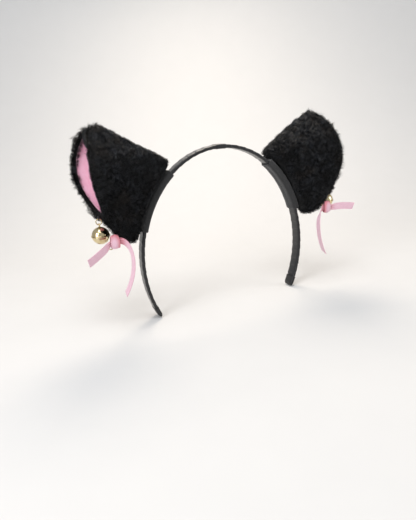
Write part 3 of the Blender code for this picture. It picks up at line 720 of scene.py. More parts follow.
wrap_angles = np.linspace(WRAP_FROM, WRAP_TO, 90)
end_round = np.clip(np.minimum(wrap_angles - WRAP_FROM, WRAP_TO - wrap_angles) / 0.5, 0, 1)[:, None]
felt_bar = (wrap_angles, 64, -GAP - WRAP_WALL, SLEEVE_THICKNESS + GAP + WRAP_SEAT,
            SLEEVE_WIDTH + 2 * (GAP + WRAP_WALL), 4.0)
plain = bar_rings(*felt_bar)
felt_swell = (0.12 * lumps(plain, 4.5, 3) + 0.06 * lumps(plain, 1.7, 4) - 0.35 * (1 - np.sqrt(end_round))
              - 0.1)
felt_inner = bar_rings(wrap_angles, 64, -GAP, SLEEVE_THICKNESS + GAP, SLEEVE_WIDTH + 2 * GAP, 5.0)
felt_shape = sleeve_tube(bar_rings(*felt_bar, swell=felt_swell), felt_inner)
stitch_angles = np.arange(WRAP_FROM + 1.2, WRAP_TO - 1.0, 1.55)
level = np.full(len(stitch_angles), -GAP - WRAP_WALL - 0.02)
starts = arch(stitch_angles, level, np.full(len(stitch_angles), 1.5))
finishes = arch(stitch_angles + 0.7, level, np.full(len(stitch_angles), -1.5))
lift = arch(stitch_angles, np.full(len(stitch_angles), -0.28)) - arch(stitch_angles)
whip_shape = stack_pieces([stitch(a, b, c) for a, b, c in zip(starts, finishes, lift)])
for hand in SIDES:
    make_side("ear", "felt", hand, felt_shape, FELT, "leg", "black_felt", "felt_wrap")
    make_side("ear", "felt_stitches", hand, whip_shape, THREAD, "leg", "black_thread")


# %% [markdown]
# ## The ear's shape
# An ear is a cup of cloth: its deepest line runs along the bottom edge, up the band and out along the
# ridge to the tip, and from every point of that line two walls rise to the front and back rims. Each
# section is a round bottom and two walls that swing out on a smooth step.

# %% Sections of the ear
FRONT_RIM = [(101.5, -13.0, -42.5), (104.5, -27.0, -28.0), (108.5, -31.0, -5.0), (104.5, -10.0, 15.0),
             (99.0, 6.0, 21.6)]
BACK_RIM = [(102.5, -2.5, -41.5), (111.5, 12.0, -30.0), (118.5, 23.0, -7.0), (109.5, 19.5, 14.0),
            (99.5, 15.0, 21.6)]
RIDGE = [(46.5, 7.0, -5.0), (71.0, 9.5, 9.0), (94.0, 10.5, 22.3)]
BOTTOM_EDGE = [(97.5, -8.0, -46.0), (92.5, -8.5, -56.0), (85.0, -5.0, -66.5)]
SPINE_ROUNDS = [5.0, 8.5, 12.0, 12.5, 11.5, 8.5, 6.5]
EAR_SEAT = 6.0
EAR_ROWS = 61


def ear_spine(count):
    """The cup's deepest line: bottom edge, seat on the band, ridge to the tip, corners rounded."""
    seat = arch(np.linspace(74.0, 33.0, 30), np.full(30, EAR_SEAT), np.linspace(-2.0, 2.0, 30))
    ridge_line = bezier([seat[-1], *RIDGE], np.linspace(0.08, 1.0, 30))
    bottom = bezier([*BOTTOM_EDGE, seat[0]], np.linspace(0.0, 0.93, 20))
    path = resample(np.concatenate([bottom, seat, ridge_line]), 300)
    return resample(rounded(path, 24), count)


def ear_sections(count, fine=160):
    """One fine line from front to back rim at each of count stations from lower corner to tip."""
    front = resample(bezier(FRONT_RIM, np.linspace(0, 1, 80)), count)
    back = resample(bezier(BACK_RIM, np.linspace(0, 1, 80)), count)
    spine = ear_spine(count)
    wanted = np.interp(np.linspace(0, 1, count), np.linspace(0, 1, len(SPINE_ROUNDS)), SPINE_ROUNDS)
    depth, half = (front + back) / 2 - spine, (front - back) / 2
    reach = np.linalg.norm(depth, axis=1)
    towards = depth / reach[:, None]
    skew = np.sum(half * towards, axis=1)
    side = half - towards * skew[:, None]
    spread = np.linalg.norm(side, axis=1)
    side = side / spread[:, None]
    bottom = np.minimum(np.minimum(wanted, spread), 0.85 * reach)[:, None]
    turn, run = np.linspace(0, math.pi / 2, fine // 2, endpoint=False), np.linspace(0, 1, fine // 2)
    step = run * run * (3 - 2 * run)
    along = np.concatenate([bottom * (1 - np.cos(turn)), bottom + (reach[:, None] - bottom) * run],
                           axis=1)
    aside = np.concatenate([bottom * np.sin(turn), bottom + (spread[:, None] - bottom) * step], axis=1)
    share = np.concatenate([0 * turn, step])
    lines = [spine[:, None] + towards[:, None] * (along + sign * skew[:, None] * share)[..., None]
             + side[:, None] * (sign * aside)[..., None] for sign in (1.0, -1.0)]
    return np.concatenate([lines[0][:, ::-1], lines[1][:, 1:]], axis=1)


# %% The ear's outer face as a grid with normals
HEM, RIM_COLUMNS, WALL_COLUMNS = 1.5, 4, 56
NORMAL_PASSES = 12                       # how often the wall direction is averaged with its neighbours


def ear_grid():
    """Columns at fixed distances near each rim and evenly spaced between, with smoothed unit normals."""
    fine = ear_sections(EAR_ROWS)
    steps = np.linalg.norm(np.diff(fine, axis=1), axis=2)
    length = np.concatenate([np.zeros((EAR_ROWS, 1)), np.cumsum(steps, axis=1)], axis=1)
    near = np.linspace(0, HEM, RIM_COLUMNS)
    inner = np.linspace(0, 1, WALL_COLUMNS + 2)[1:-1]
    rows = []
    for row in range(EAR_ROWS):
        total = length[row, -1]
        wanted = np.concatenate([near, HEM + (total - 2 * HEM) * inner, total - near[::-1]])
        rows.append(np.stack([np.interp(wanted, length[row], fine[row, :, axis])
                              for axis in range(3)], axis=1))
    grid = np.stack(rows)
    normal = unit(np.cross(np.gradient(grid, axis=1), np.gradient(grid, axis=0)))
    for _ in range(NORMAL_PASSES):
        padded = np.pad(normal, ((1, 1), (1, 1), (0, 0)), mode="edge")
        normal = unit(normal * 2 + padded[:-2, 1:-1] + padded[2:, 1:-1]
                      + padded[1:-1, :-2] + padded[1:-1, 2:])
    facing = np.sum(normal * (grid - grid.mean(axis=(0, 1))), axis=2).sum()
    return grid, normal * np.sign(facing)


EAR_GRID, EAR_NORMAL = ear_grid()
print("ear grid", EAR_GRID.shape, "spans", np.round(np.ptp(EAR_GRID.reshape(-1, 3), axis=0), 1), "mm")


# %% [markdown]
# ## Cloth, foam and lining of the ear
# Each layer is the same surface sunk by two depths. The pile cloth is turned in at the rim, so its hem
# is thicker there. The lining stops a millimetre short of the rim, so that the pile frames it, and it
# puckers where it is sewn to the hem.

# %% Layers of the ear
FUR_CLOTH, FOAM_FROM, FOAM_TO, LINING_FROM, LINING_TO, LIP = 1.6, 1.9, 3.1, 3.4, 4.3, 3.1


def ear_layer(outer_depth, inner_depth, rows=slice(None), columns=slice(None)):
    """A closed sheet between two depths below the outer face."""
    shape = EAR_GRID.shape[:2]
    depths = [np.broadcast_to(depth, shape)[..., None] for depth in (outer_depth, inner_depth)]
    points, faces = two_faced(*((EAR_GRID - EAR_NORMAL * depth)[rows, columns] for depth in depths))
    return points, outward(points, faces)


column_count = EAR_GRID.shape[1]
fur_depth = np.full(column_count, FUR_CLOTH)
fur_depth[:RIM_COLUMNS] = fur_depth[-RIM_COLUMNS:] = LIP
fur_points, fur_faces = ear_layer(0.0, fur_depth)
foam_shape = ear_layer(FOAM_FROM, FOAM_TO, slice(4, -4), slice(10, -10))

rim_share = np.linspace(0, 1, column_count)[None]
near_rim = np.exp(-np.minimum(rim_share, 1 - rim_share) * 22)
station = np.linspace(0, 1, EAR_ROWS)[:, None]
pucker = 0.16 * near_rim * np.sin(station * 150 + 5 * rim_share) + 0.07 * lumps(EAR_GRID, 7.0, 8)
lining_points, lining_faces = ear_layer(LINING_FROM, LINING_TO + pucker, slice(1, -1), slice(2, -2))
for hand in SIDES:
    make_side("ear", "pile_cloth", hand, (fur_points, fur_faces), BACKING, "leg", "black_fur",
              "fur_cover")
    make_side("ear", "foam", hand, foam_shape, FOAM, "leg", "grey_foam", "foam_stiffener")
    make_side("ear", "plush", hand, (lining_points, lining_faces), PLUSH, "leg", "pink_plush",
              "pink_lining")


# %% [markdown]
# ## Hair by hair
# Pile looks like pile only when its edge is made of hairs. Each hair is a three-sided spike of ten
# triangles. It leaves the cloth along the normal and bends over on an arc, and its tip is drawn towards
# the tip of the nearest tuft, which leaves the small dark gaps that fur has.

# %% Where hairs stand
def vertex_normals(points, triangles):
    """Sum of the area vectors of the triangles round each point, made unit."""
    corners = points[triangles]
    area = np.cross(corners[:, 1] - corners[:, 0], corners[:, 2] - corners[:, 0])
    normal = np.zeros_like(points)
    for k in range(3):
        np.add.at(normal, triangles[:, k], area)
    return unit(normal + 1e-12)


def scatter(points, triangles, weight, count, rng):
    """count random places on the triangles, denser where the weight is higher, with their normals."""
    corners = points[triangles]
    first, second = corners[:, 1] - corners[:, 0], corners[:, 2] - corners[:, 0]
    area = np.linalg.norm(np.cross(first, second), axis=1) / 2
    chance = np.cumsum(area * weight)
    pick = np.searchsorted(chance, rng.uniform(0, chance[-1], count))
    u, v = rng.uniform(size=(2, count, 1))
    root = np.sqrt(u)
    shares = np.concatenate([1 - root, root * (1 - v), root * v], axis=1)[..., None]
    normals = vertex_normals(points, triangles)[triangles[pick]]
    return (corners[pick] * shares).sum(axis=1), unit((normals * shares).sum(axis=1)), pick


def nearest(points, centres, chunk=3000):
    """Index of the closest centre to each point, worked out a few thousand points at a time."""
    found = []
    square = (centres ** 2).sum(axis=1)
    for start in range(0, len(points), chunk):
        part = points[start:start + chunk]
        found.append((square - 2 * part @ centres.T).argmin(axis=1))
    return np.concatenate(found)


# %% How hairs bend
HAIR_STATIONS = np.array([0.0, 0.55])


def hair_mesh(root, normal, lean, length, bend, width, pull=None):
    """Spikes on arcs: root + length (normal sin(bt)/b + lean (1 - cos(bt))/b), t from 0 to 1.

    Returns points, faces and each point's share of the way to the tip.
    """
    count = len(root)
    lean = unit(lean - normal * np.sum(lean * normal, axis=1, keepdims=True))
    side = np.cross(normal, lean)
    bend, length, width = bend[:, None], length[:, None], width[:, None]

    def centre(t):
        place = root + length * (normal * np.sin(bend * t) + lean * (1 - np.cos(bend * t))) / bend
        return place if pull is None else place + pull * t * t

    rings = []
    for t in HAIR_STATIONS:
        radius = width / 2 * (1 - 0.75 * t)
        across = -normal * np.sin(bend * t) + lean * np.cos(bend * t)
        for turn in (0.0, 2 * math.pi / 3, 4 * math.pi / 3):
            rings.append(centre(t) + radius * (side * math.cos(turn) - across * math.sin(turn)))
    rings.append(centre(1.0))
    points = np.stack(rings, axis=1).reshape(-1, 3)
    k = np.array([0, 1, 2])
    ahead = (k + 1) % 3
    tip = 3 * len(HAIR_STATIONS)
    one = [np.array([[0, 2, 1]])]
    for ring in range(len(HAIR_STATIONS) - 1):
        low, high = 3 * ring, 3 * ring + 3
        one.append(np.stack([low + k, low + ahead, high + ahead], axis=1))
        one.append(np.stack([low + k, high + ahead, high + k], axis=1))
    one.append(np.stack([tip - 3 + k, tip - 3 + ahead, np.full(3, tip)], axis=1))
    one = np.concatenate(one)
    per_hair = tip + 1
    faces = (one[None] + per_hair * np.arange(count)[:, None, None]).reshape(-1, 3)
    along = np.tile(np.append(np.repeat(HAIR_STATIONS, 3), 1.0), count)
    return points, [faces], along


# %% [markdown]
# The pile is combed out from the fold towards the rims and swirls slowly, and each tuft leans its own
# way. On the back rim it folds over the edge of the lining, near the tip it droops into the cup, and on
# the front rim it lies back. Under the ear, where the pile is pressed against the felt, round the bell's
# ring and wherever the bell swings, the hairs are short.

# %% The black pile
HAIRS_IN_PIECE, FUR_PIECES = 17600, 4
FUR_AREA, TUFT_SPACING = 9000.0, 2.4     # square millimetres of cloth, millimetres between tufts
PILE, MEAN_BEND = 4.7, 1.25              # hair length in millimetres, how far a hair turns in radians
BELL_CLEARANCE = 7.4                     # from the bell's middle
BELL_SWINGS = [(0, 35), (0, -15), (-12, 35), (-12, 0), (-12, -15), (0, 0)]     # ring and bell, degrees


def fur_roots(count, rng):
    """Roots on the outer face, the rim and the turned hem, not on the hidden inner face.

    Each root also knows its row from 0 to 1 and which parts of the ear it stands on.
    """
    triangles = triangles_of(fur_faces)
    rows, columns = EAR_GRID.shape[:2]
    inner_side = (triangles >= rows * columns).all(axis=1)
    column = triangles % columns
    lowest, highest = column.min(axis=1), column.max(axis=1)
    spot = {"row": (triangles[:, 0] % (rows * columns)) // columns / (rows - 1),
            "hem": inner_side & ((highest < RIM_COLUMNS) | (lowest >= columns - RIM_COLUMNS)),
            "edge": ~inner_side & (triangles >= rows * columns).any(axis=1),
            "front": highest < columns / 2,
            "back_rim": lowest >= columns - RIM_COLUMNS,
            "front_rim": highest < RIM_COLUMNS + 3}
    weight = np.where(inner_side, 0.0, 1.0)
    weight[spot["hem"]] = 2.2
    weight[spot["edge"]] = 1.8
    root, normal, pick = scatter(fur_points, triangles, weight, count, rng)
    return root, normal, {label: numbers[pick] for label, numbers in spot.items()}


def fur_lean(root, rng, tuft_lean, spot):
    """Towards the rims and the tip, plus a slow swirl and the tuft's own direction.

    On the back rim the pile folds over towards the wearer's front, so it frames the lining, and on the
    front rim it lies back from the opening.
    """
    opening = unit(np.array([[1.0, -0.1, 0.12]]))
    up = np.array([[0.0, 0.0, 0.35]])
    swirl = np.stack([lumps(root, 13.0, seed) for seed in (42, 43, 44)], axis=1)
    inside = spot["hem"] | spot["edge"]
    folded = (inside & ~spot["front"])[:, None] * np.array([[-0.3, -2.2, 0.0]])
    folded = folded + spot["front_rim"][:, None] * np.array([[-1.4, -0.4, 0.0]])
    drooping = np.where(inside, np.clip((spot["row"] - 0.72) / 0.15, 0, 1), 0)[:, None]
    return (0.30 * opening + up + folded + 1.5 * swirl + 0.65 * tuft_lean
            + 0.45 * rng.normal(size=root.shape)) * (1 - 0.6 * drooping) + drooping * [[-0.6, 0.0, -2.2]]


def swung_bell(swing):
    """The middle of the left bell after a swing of its ring and of the bell on it, both in degrees."""
    ring_turn, bell_turn = np.radians(swing)
    top = centre_of("bell_left_top_shell")
    middle = np.array([top[0], top[1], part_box("bell_left_top_shell")[0][2] / MM])
    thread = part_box("bell_left_thread_eye")[0][2] / MM
    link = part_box("bell_left_jump_ring")[0][2] / MM + 0.8
    hang = link - middle[2]
    arm = np.array([0.0, hang * math.sin(bell_turn), link - thread - hang * math.cos(bell_turn)])
    return np.array([middle[0] - arm[2] * math.sin(ring_turn), middle[1] + arm[1],
                     thread + arm[2] * math.cos(ring_turn)])


def pressed(root, normal):
    """1 in the open, less where the pile faces the band or the ring and where the bell swings."""
    ring = centre_of("bell_left_thread_eye")
    flat = np.stack([root[:, 0] / HALF_WIDTH, (root[:, 2] + RISE) / RISE], axis=1)
    level = (np.linalg.norm(flat, axis=1) - 1) * 78.0      # millimetres above the band's inner face
    inward = -(normal[:, 0] * flat[:, 0] + normal[:, 2] * flat[:, 1])
    under = np.clip((11.0 - level) / 4.0, 0, 1) * np.clip(inward * 2.2, 0, 1) * (np.abs(root[:, 1]) < 9)
    at_ring = np.clip(1 - np.linalg.norm(root - ring, axis=1) / 5.0, 0, 1)
    room = np.ones(len(root))
    for swing in BELL_SWINGS:
        distance = np.linalg.norm(root - swung_bell(swing), axis=1)
        room = np.minimum(room, (distance - BELL_CLEARANCE) / 2.5)
    return (1 - 0.84 * np.clip(under + at_ring, 0, 1)) * np.clip(room, 0.1, 1)


def short_places(root, normal, spot):
    """The pile thins along the ridge towards the band, on the front rim and by the lower corner."""
    on_ridge = np.clip(normal[:, 2], 0, 1) ** 2 * np.clip((96.0 - root[:, 0]) / 30.0, 0, 1)
    inside = spot["hem"] | spot["edge"]
    low_rim = np.where(inside, np.clip((0.42 - spot["row"]) / 0.3, 0, 1), 0)
    front_rim = np.where(spot["front"], np.where(spot["hem"], 0.78, np.where(spot["edge"], 0.55, 0)), 0)
    near_tip = np.clip((spot["row"] - 0.72) / 0.15, 0, 1)
    longer = 1 + 0.3 * spot["back_rim"] + 0.35 * np.where(inside, near_tip, 0)
    return (1 - 0.5 * on_ridge) * (1 - 0.8 * low_rim) * (1 - front_rim * (1 - near_tip)) * longer


def make_pile(hand, seed):
    """All the hairs of one ear, in a few pieces."""
    rng = np.random.default_rng(seed)
    count = HAIRS_IN_PIECE * FUR_PIECES
    root, normal, spot = fur_roots(count, rng)
    tufts, tuft_normal, tuft_spot = fur_roots(int(FUR_AREA / TUFT_SPACING ** 2), rng)
    lean_of_tuft = unit(rng.normal(size=tufts.shape))
    length_of_tuft = rng.uniform(0.75, 1.12, len(tufts)) * (1 + 0.5 * lumps(tufts, 14.0, 41))
    shade_of_tuft = np.clip(rng.normal(0.34, 0.27, len(tufts)), 0, 1)
    own = nearest(root, tufts)
    rise = (root[:, 2] - EAR_GRID[..., 2].min()) / np.ptp(EAR_GRID[..., 2])
    length = PILE * length_of_tuft[own] * rng.uniform(0.75, 1.05, count) * (1 + 0.16 * rise ** 4)
    length = length * pressed(root, normal) * short_places(root, normal, spot)
    bend = np.clip(rng.normal(MEAN_BEND, 0.25, count), 0.5, 2.0)
    lean = fur_lean(root, rng, lean_of_tuft[own], spot)
    tuft_lean = fur_lean(tufts, rng, lean_of_tuft, tuft_spot)
    tuft_lean = unit(tuft_lean - tuft_normal * np.sum(tuft_lean * tuft_normal, axis=1, keepdims=True))
    tuft_tip = tufts + PILE * (tuft_normal * math.sin(MEAN_BEND)
                               + tuft_lean * (1 - math.cos(MEAN_BEND))) / MEAN_BEND
    flat = unit(lean - normal * np.sum(lean * normal, axis=1, keepdims=True))
    own_tip = root + length[:, None] * (normal * np.sin(bend)[:, None]
                                        + flat * (1 - np.cos(bend))[:, None]) / bend[:, None]
    gather = rng.uniform(0.05, 0.62, (count, 1)) * (length / PILE)[:, None]
    pull = np.clip((tuft_tip[own] - own_tip) * gather, -1.4, 1.4)
    for swing in BELL_SWINGS:
        away = own_tip + pull - swung_bell(swing)
        distance = np.linalg.norm(away, axis=1, keepdims=True)
        pull = pull + away / distance * np.clip(BELL_CLEARANCE - distance, 0, 4)
    width = rng.uniform(0.13, 0.24, count)
    shade = np.clip(shade_of_tuft[own] + 0.5 * lumps(root, 15.0, 45) + rng.normal(0, 0.16, count), 0, 1)
    order = rng.permutation(count)
    for number in range(FUR_PIECES):
        pick = order[number * HAIRS_IN_PIECE:(number + 1) * HAIRS_IN_PIECE]
        points, faces, along = hair_mesh(root[pick] - normal[pick] * 0.15, normal[pick], lean[pick],
                                         length[pick], bend[pick], width[pick], pull[pick])
        values = {"along": along, "shade": np.repeat(shade[pick], len(along) // len(pick))}
        make_side("ear", f"pile_{number + 1}", hand, (points, faces), FUR, "leg", "black_fur", sharp=0,
                  values=values)


for seed, hand in enumerate(SIDES, 11):
    make_pile(hand, seed)


# %% [markdown]
# ## The nap of the lining
# The plush has the same hairs on a small scale: about a millimetre long, close together, brushed up the
# ear. They soften the line where pink meets black.

# %% Pink nap
NAP_HAIRS, NAP_LENGTH = 10000, 0.9


def make_nap(hand, seed):
    """Short fibres on the lining's inner face."""
    rng = np.random.default_rng(seed)
    triangles = triangles_of(lining_faces)
    weight = np.where((triangles >= len(lining_points) // 2).all(axis=1), 1.0, 0.0)
    root, normal, _ = scatter(lining_points, triangles, weight, NAP_HAIRS, rng)
    swirl = np.stack([lumps(root, 16.0, seed) for seed in (21, 22, 23)], axis=1) + [0.0, 0.0, 0.6]
    lean = swirl + 0.5 * rng.normal(size=root.shape)
    length = NAP_LENGTH * rng.uniform(0.7, 1.2, NAP_HAIRS)
    bend, width = rng.uniform(0.6, 1.5, NAP_HAIRS), rng.uniform(0.16, 0.26, NAP_HAIRS)
    points, faces, along = hair_mesh(root - normal * 0.1, normal, lean, length, bend, width)
    shade = np.clip(0.5 + 0.5 * lumps(root, 9.0, 24) + rng.normal(0, 0.2, NAP_HAIRS), 0, 1)
    values = {"along": along, "shade": np.repeat(shade, len(along) // NAP_HAIRS)}
    make_side("ear", "nap", hand, (points, faces), NAP, "leg", "pink_plush", sharp=0, values=values)


for seed, hand in enumerate(SIDES, 31):
    make_nap(hand, seed)


# %% [markdown]
# ## The jingle bells
# A bell is two stamped half shells crimped together at the waist, with a rolled edge, two crossed slots
# underneath that end in round holes, a wire eye on top and a loose steel ball inside. The shells are
# profiles turned round the upright axis. The slots are cut from the finished shell.

# %% Turned shapes
BELL_CENTRE = np.array([103.4, -4.0, -54.6])
BELL_RADIUS, BELL_WALL, BELL_LIP = 6.6, 0.5, 0.5
SLOT_WIDTH, SLOT_HOLE, SLOT_REACH = 1.2, 0.95, 4.3


def turned(profile, centre, segments):
    """A closed (radius, height) profile turned round Z: (r cos a, r sin a, h)."""
    profile = np.asarray(profile, dtype=float)
    turn = np.linspace(0, 2 * math.pi, segments, endpoint=False)[None]
    rings = np.stack([profile[:, :1] * np.cos(turn), profile[:, :1] * np.sin(turn),
                      np.broadcast_to(profile[:, 1:], (len(profile), segments))], axis=-1)
    return (rings + centre).reshape(-1, 3), [grid_quads(len(profile), segments, True, True)]


def arc_profile(radius, start, end, count):
    """(radius sin a, radius cos a), a measured from the top in degrees."""
    turn = np.radians(np.linspace(start, end, count))
    return np.stack([radius * np.sin(turn), radius * np.cos(turn)], axis=1)


def bead(radius, height, size, start, end, count=9):
    """A small round edge: a circle of the profile round (radius, height)."""
    turn = np.radians(np.linspace(start, end, count))
    return np.stack([radius + size * np.cos(turn), height + size * np.sin(turn)], axis=1)


def cutter(name, points, faces):
    """A loose object to cut with."""
    made = bpy.data.objects.new(name, build_mesh(name, points, faces))
    made.data.materials.append(GOLD)
    bpy.context.scene.collection.objects.link(made)
    return made


def cut(target, tools):
    """The target's mesh with the tools' shapes taken away; the tools are removed."""
    for tool in tools:
        step = target.modifiers.new("cut", "BOOLEAN")
        step.operation, step.object, step.solver = "DIFFERENCE", tool, "EXACT"
    done = bpy.data.meshes.new_from_object(target.evaluated_get(bpy.context.evaluated_depsgraph_get()))
    target.modifiers.clear()
    target.data = done
    for tool in tools:
        bpy.data.objects.remove(tool)
    return target


# %% Bell shells
SEAM, LIP_HEIGHT = 0.15, 0.55
shell_low, seam_low = (90 - math.degrees(math.asin(height / BELL_RADIUS))
                       for height in (LIP_HEIGHT, SEAM))
EYE_HOLE = math.degrees(math.asin(1.1 / BELL_RADIUS))


def shell_profile(pole, count):
    """Outer arc from the pole down to the lip, the rolled lip, and the inner arc back to the pole."""
    return np.concatenate([
        arc_profile(BELL_RADIUS, pole, shell_low - 1.5, count),
        [(BELL_RADIUS + 0.05, LIP_HEIGHT + 0.02)],
        bead(BELL_RADIUS + BELL_LIP - 0.2, SEAM + 0.2, 0.2, 90, -90),
        arc_profile(BELL_RADIUS - BELL_WALL, seam_low, pole, count)])


def domed(profile, centre, segments):
    """Like turned, but the first and last rings close in poles, so the shell has no hole."""
    rows = len(profile)
    points, quads = turned(profile, centre, segments)
    quads = quads[0][:(rows - 1) * segments]
    poles = [centre + [0, 0, profile[0, 1]], centre + [0, 0, profile[-1, 1]]]
    fans = end_fans(segments, (rows - 1) * segments, rows * segments)
    return np.concatenate([points, poles]), [quads, np.concatenate(fans)]


def slot_tool(number, side):
    """An upright prism of a slot's outline: a straight slot with a round hole at each end."""
    turn = math.radians((35, 125)[number])
    along = np.array([math.cos(turn), math.sin(turn), 0.0])
    across = np.array([-math.sin(turn), math.cos(turn), 0.0])
    start = math.asin(SLOT_WIDTH / 2 / SLOT_HOLE)
    angle = np.linspace(-math.pi + start, math.pi - start, 23)[:, None]
    half = along * (SLOT_REACH + SLOT_HOLE * np.cos(angle)) + across * SLOT_HOLE * np.sin(angle)
    outline = np.concatenate([half, -half]) + BELL_CENTRE
    rings = np.stack([outline - [0, 0, BELL_RADIUS + 1.0], outline - [0, 0, 2.0]])
    points, faces = closed_tube(rings)
    return cutter(f"slot_tool_{number}", mirrored(points, side), faces)


for tag, side in SIDES:
    make_side("bell", "top", (tag, side), turned(shell_profile(EYE_HOLE, 26), BELL_CENTRE, 96), GOLD,
              "bell", "gold_plate", "top_shell", sharp=35)
    points, faces = domed(shell_profile(1.2, 30), np.zeros(3), 96)
    points = points * [1, 1, -1] + BELL_CENTRE
    shell = cutter(f"bell_{tag}_bottom", mirrored(points, side), faces)
    cut(shell, [slot_tool(0, side), slot_tool(1, side)])
    shell.data.shade_smooth()
    shell.data.set_sharp_from_angle(angle=math.radians(35))
    shell.data.name = shell.name
    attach(shell, f"{tag}_bell")
    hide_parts(f"bell_{tag}_bottom_shell")
    print(shell.name, len(shell.data.polygons), "faces after the slots were cut")


# %% [markdown]
# The wire parts are rings: the bell's eye with its rivet, the jump ring, which was opened and closed
# again so that a fine gap is left, the ring under the bow, and a loop of doubled thread that sews the
# jump ring to the ear.

# %% Eyes, rings, thread and pellet
EYE_RADIUS, EYE_WIRE, RING_RADIUS, RING_WIRE = 1.35, 0.35, 2.1, 0.4
BOW_RING_CENTRE, BOW_RING_RADIUS = np.array([98.3, -11.4, -62.2]), 2.4


def circle(centre, radius, first, second, start=0.0, end=360.0, count=64):
    """centre + radius (cos a first + sin a second)."""
    turn = np.radians(np.linspace(start, end, count, endpoint=end - start < 360))[:, None]
    return centre + radius * (np.cos(turn) * np.asarray(first) + np.sin(turn) * np.asarray(second))


def doubled_thread(centre, radius, first, second, wire):
    """Two plies wound round the circle: the circle's path plus a small circle that turns nine times."""
    pieces = []
    turn = np.linspace(0, 2 * math.pi, 90, endpoint=False)[:, None]
    radial = np.cos(turn) * np.asarray(first) + np.sin(turn) * np.asarray(second)
    axis = np.cross(first, second)
    offset = 0.45 * wire
    for shift in (0.0, math.pi):
        wind = 9 * turn + shift
        path = centre + radial * (radius + offset * np.cos(wind)) + axis * (offset * np.sin(wind))
        pieces.append(closed_loop(wire_rings(path, 0.55 * wire, 8, closed=True)))
    return stack_pieces(pieces)


for hand in SIDES:
    tag, side = hand
    eye_centre = BELL_CENTRE + [0, 0, BELL_RADIUS + EYE_RADIUS]
    eye = circle(eye_centre, EYE_RADIUS, (0, 1, 0), (0, 0, 1), count=48)
    loop = closed_loop(wire_rings(eye, EYE_WIRE, 14, closed=True))
    foot = BELL_RADIUS - BELL_WALL - GAP
    rivet = np.array([(0.01, foot - 0.45), (1.5, foot - 0.45), (1.7, foot - 0.35), (1.7, foot - 0.15),
                      (1.5, foot - 0.08), (0.75, foot), (0.7, BELL_RADIUS + 0.25),
                      (0.5, BELL_RADIUS + 0.38), (0.01, BELL_RADIUS + 0.4)])
    make_side("bell", "wire_eye", hand, stack_pieces([loop, domed(rivet[::-1], BELL_CENTRE, 32)]), GOLD,
              "bell", "gold_plate", "eye")

    centre = centre_of(f"bell_{tag}_jump_ring") * [side, 1, 1]
    ring = circle(centre, RING_RADIUS, (1, 0, 0), (0, 0, 1), 33.5, 386.0, 70)
    make_side("bell", "split_ring", hand, closed_tube(wire_rings(ring, RING_WIRE, 14)), GOLD, "ring",
              "gold_plate", "jump_ring")

    centre = centre_of(f"bell_{tag}_thread_eye") * [side, 1, 1]
    make_side("bell", "sewn_loop", hand, doubled_thread(centre, 1.5, (0, 1, 0), (0, 0, 1), 0.4), THREAD,
              "leg", "black_thread", "thread_eye")

    ring = circle(BOW_RING_CENTRE, BOW_RING_RADIUS, (0.94, -0.34, 0.0), (0, 0, 1), 100.0, 452.5, 70)
    make_side("ribbon", "ring", hand, closed_tube(wire_rings(ring, RING_WIRE, 14)), GOLD, "leg",
              "gold_plate", "gold_ring")

    centre = centre_of(f"bell_{tag}_pellet") * [side, 1, 1]
    make_side("bell", "ball", hand, domed(arc_profile(1.6, 2.0, 178.0, 20), centre, 32), STEEL_BALL,
              "pellet", "steel_ball", "pellet")


# %% [markdown]
# ## The bow
# A length of narrow satin ribbon is pulled through a tight loop of itself. The loop is a band that
# bulges at the front and is pinched at its edges; the two tails leave it gathered into pleats that open
# out over the first centimetre. The outer tail stands out stiffly and ends in a slanting cut, the inner
# one falls in an arc and turns edge-on.

# %% Ribbon loop
RIBBON_WIDTH, RIBBON_THICKNESS = 6.3, 0.42
KNOT_CENTRE, KNOT_HALF = np.array([95.6, -15.2, -58.4]), np.array([3.3, 2.3, 5.4])
OUTER_TAIL = {"left": [(104.0, -18.5, -58.0), (110.0, -22.0, -58.0), (116.5, -26.0, -59.1)],
              "right": [(103.5, -18.0, -62.5), (110.0, -21.0, -66.0), (117.5, -24.0, -69.1)]}


def ribbon_loop():
    """A band round an upright superellipse, smaller at its edges, with soft folds that run round it."""
    around, across = 96, 29
    turn = np.linspace(0, 2 * math.pi, around, endpoint=False)[:, None]
    share = np.linspace(-1, 1, across)[None]
    pinch = 1 - 0.16 * np.abs(share) ** 3
    fold = (0.16 * np.cos(share * 5.2 + 1.1 * np.sin(turn)) + 0.10 * np.sin(share * 9.0 + 2 * turn)) \
        * (0.45 + 0.55 * np.sin(turn) ** 2)
    faces_of = []
    for inset in (0.0, RIBBON_THICKNESS):
        half_y = KNOT_HALF[1] * pinch + fold * 0.6 - inset
        half_z = KNOT_HALF[2] * pinch + fold * 0.7 - inset
        power = 0.8
        y = -np.sign(np.cos(turn)) * np.abs(np.cos(turn)) ** power * half_y
        z = np.sin(turn) * half_z
        x = share * KNOT_HALF[0] * (1 - 0.10 * np.sin(turn) ** 2 - 0.06 * np.sin(turn))
        faces_of.append(KNOT_CENTRE + np.stack([x, y, z], axis=-1))
    count = around * across
    outer = grid_quads(around, across, wrap_rows=True)
    row = np.arange(around)
    ahead = (row + 1) % around
    edges = []
    for column, order in ((0, 1), (across - 1, -1)):
        a, b = row * across + column, ahead * across + column
        edge = np.stack([a, b, b + count, a + count], axis=1)
        edges.append(edge[:, ::order])
    points = np.concatenate([part.reshape(-1, 3) for part in faces_of])
    uv = np.stack(np.broadcast_arrays((share + 1) / 2, turn * 4.2), axis=-1).reshape(-1, 2)
    # painted shade: darker over the loop's upper half and towards its edges, 0.7 all over its inside face
    painted_shade = np.clip(1.2 * np.clip(np.sin(turn), 0, 1) ** 2 + 1.2 * np.clip(-share, 0, 1) ** 1.5
                   + 0.5 * np.clip(share - 0.6, 0, 1) + 0 * share, 0, 0.9).ravel()
    return (points, [np.concatenate([outer, outer[:, ::-1] + count, *edges])], np.concatenate([uv, uv]),
            np.concatenate([painted_shade, 0 * painted_shade + 0.7]))


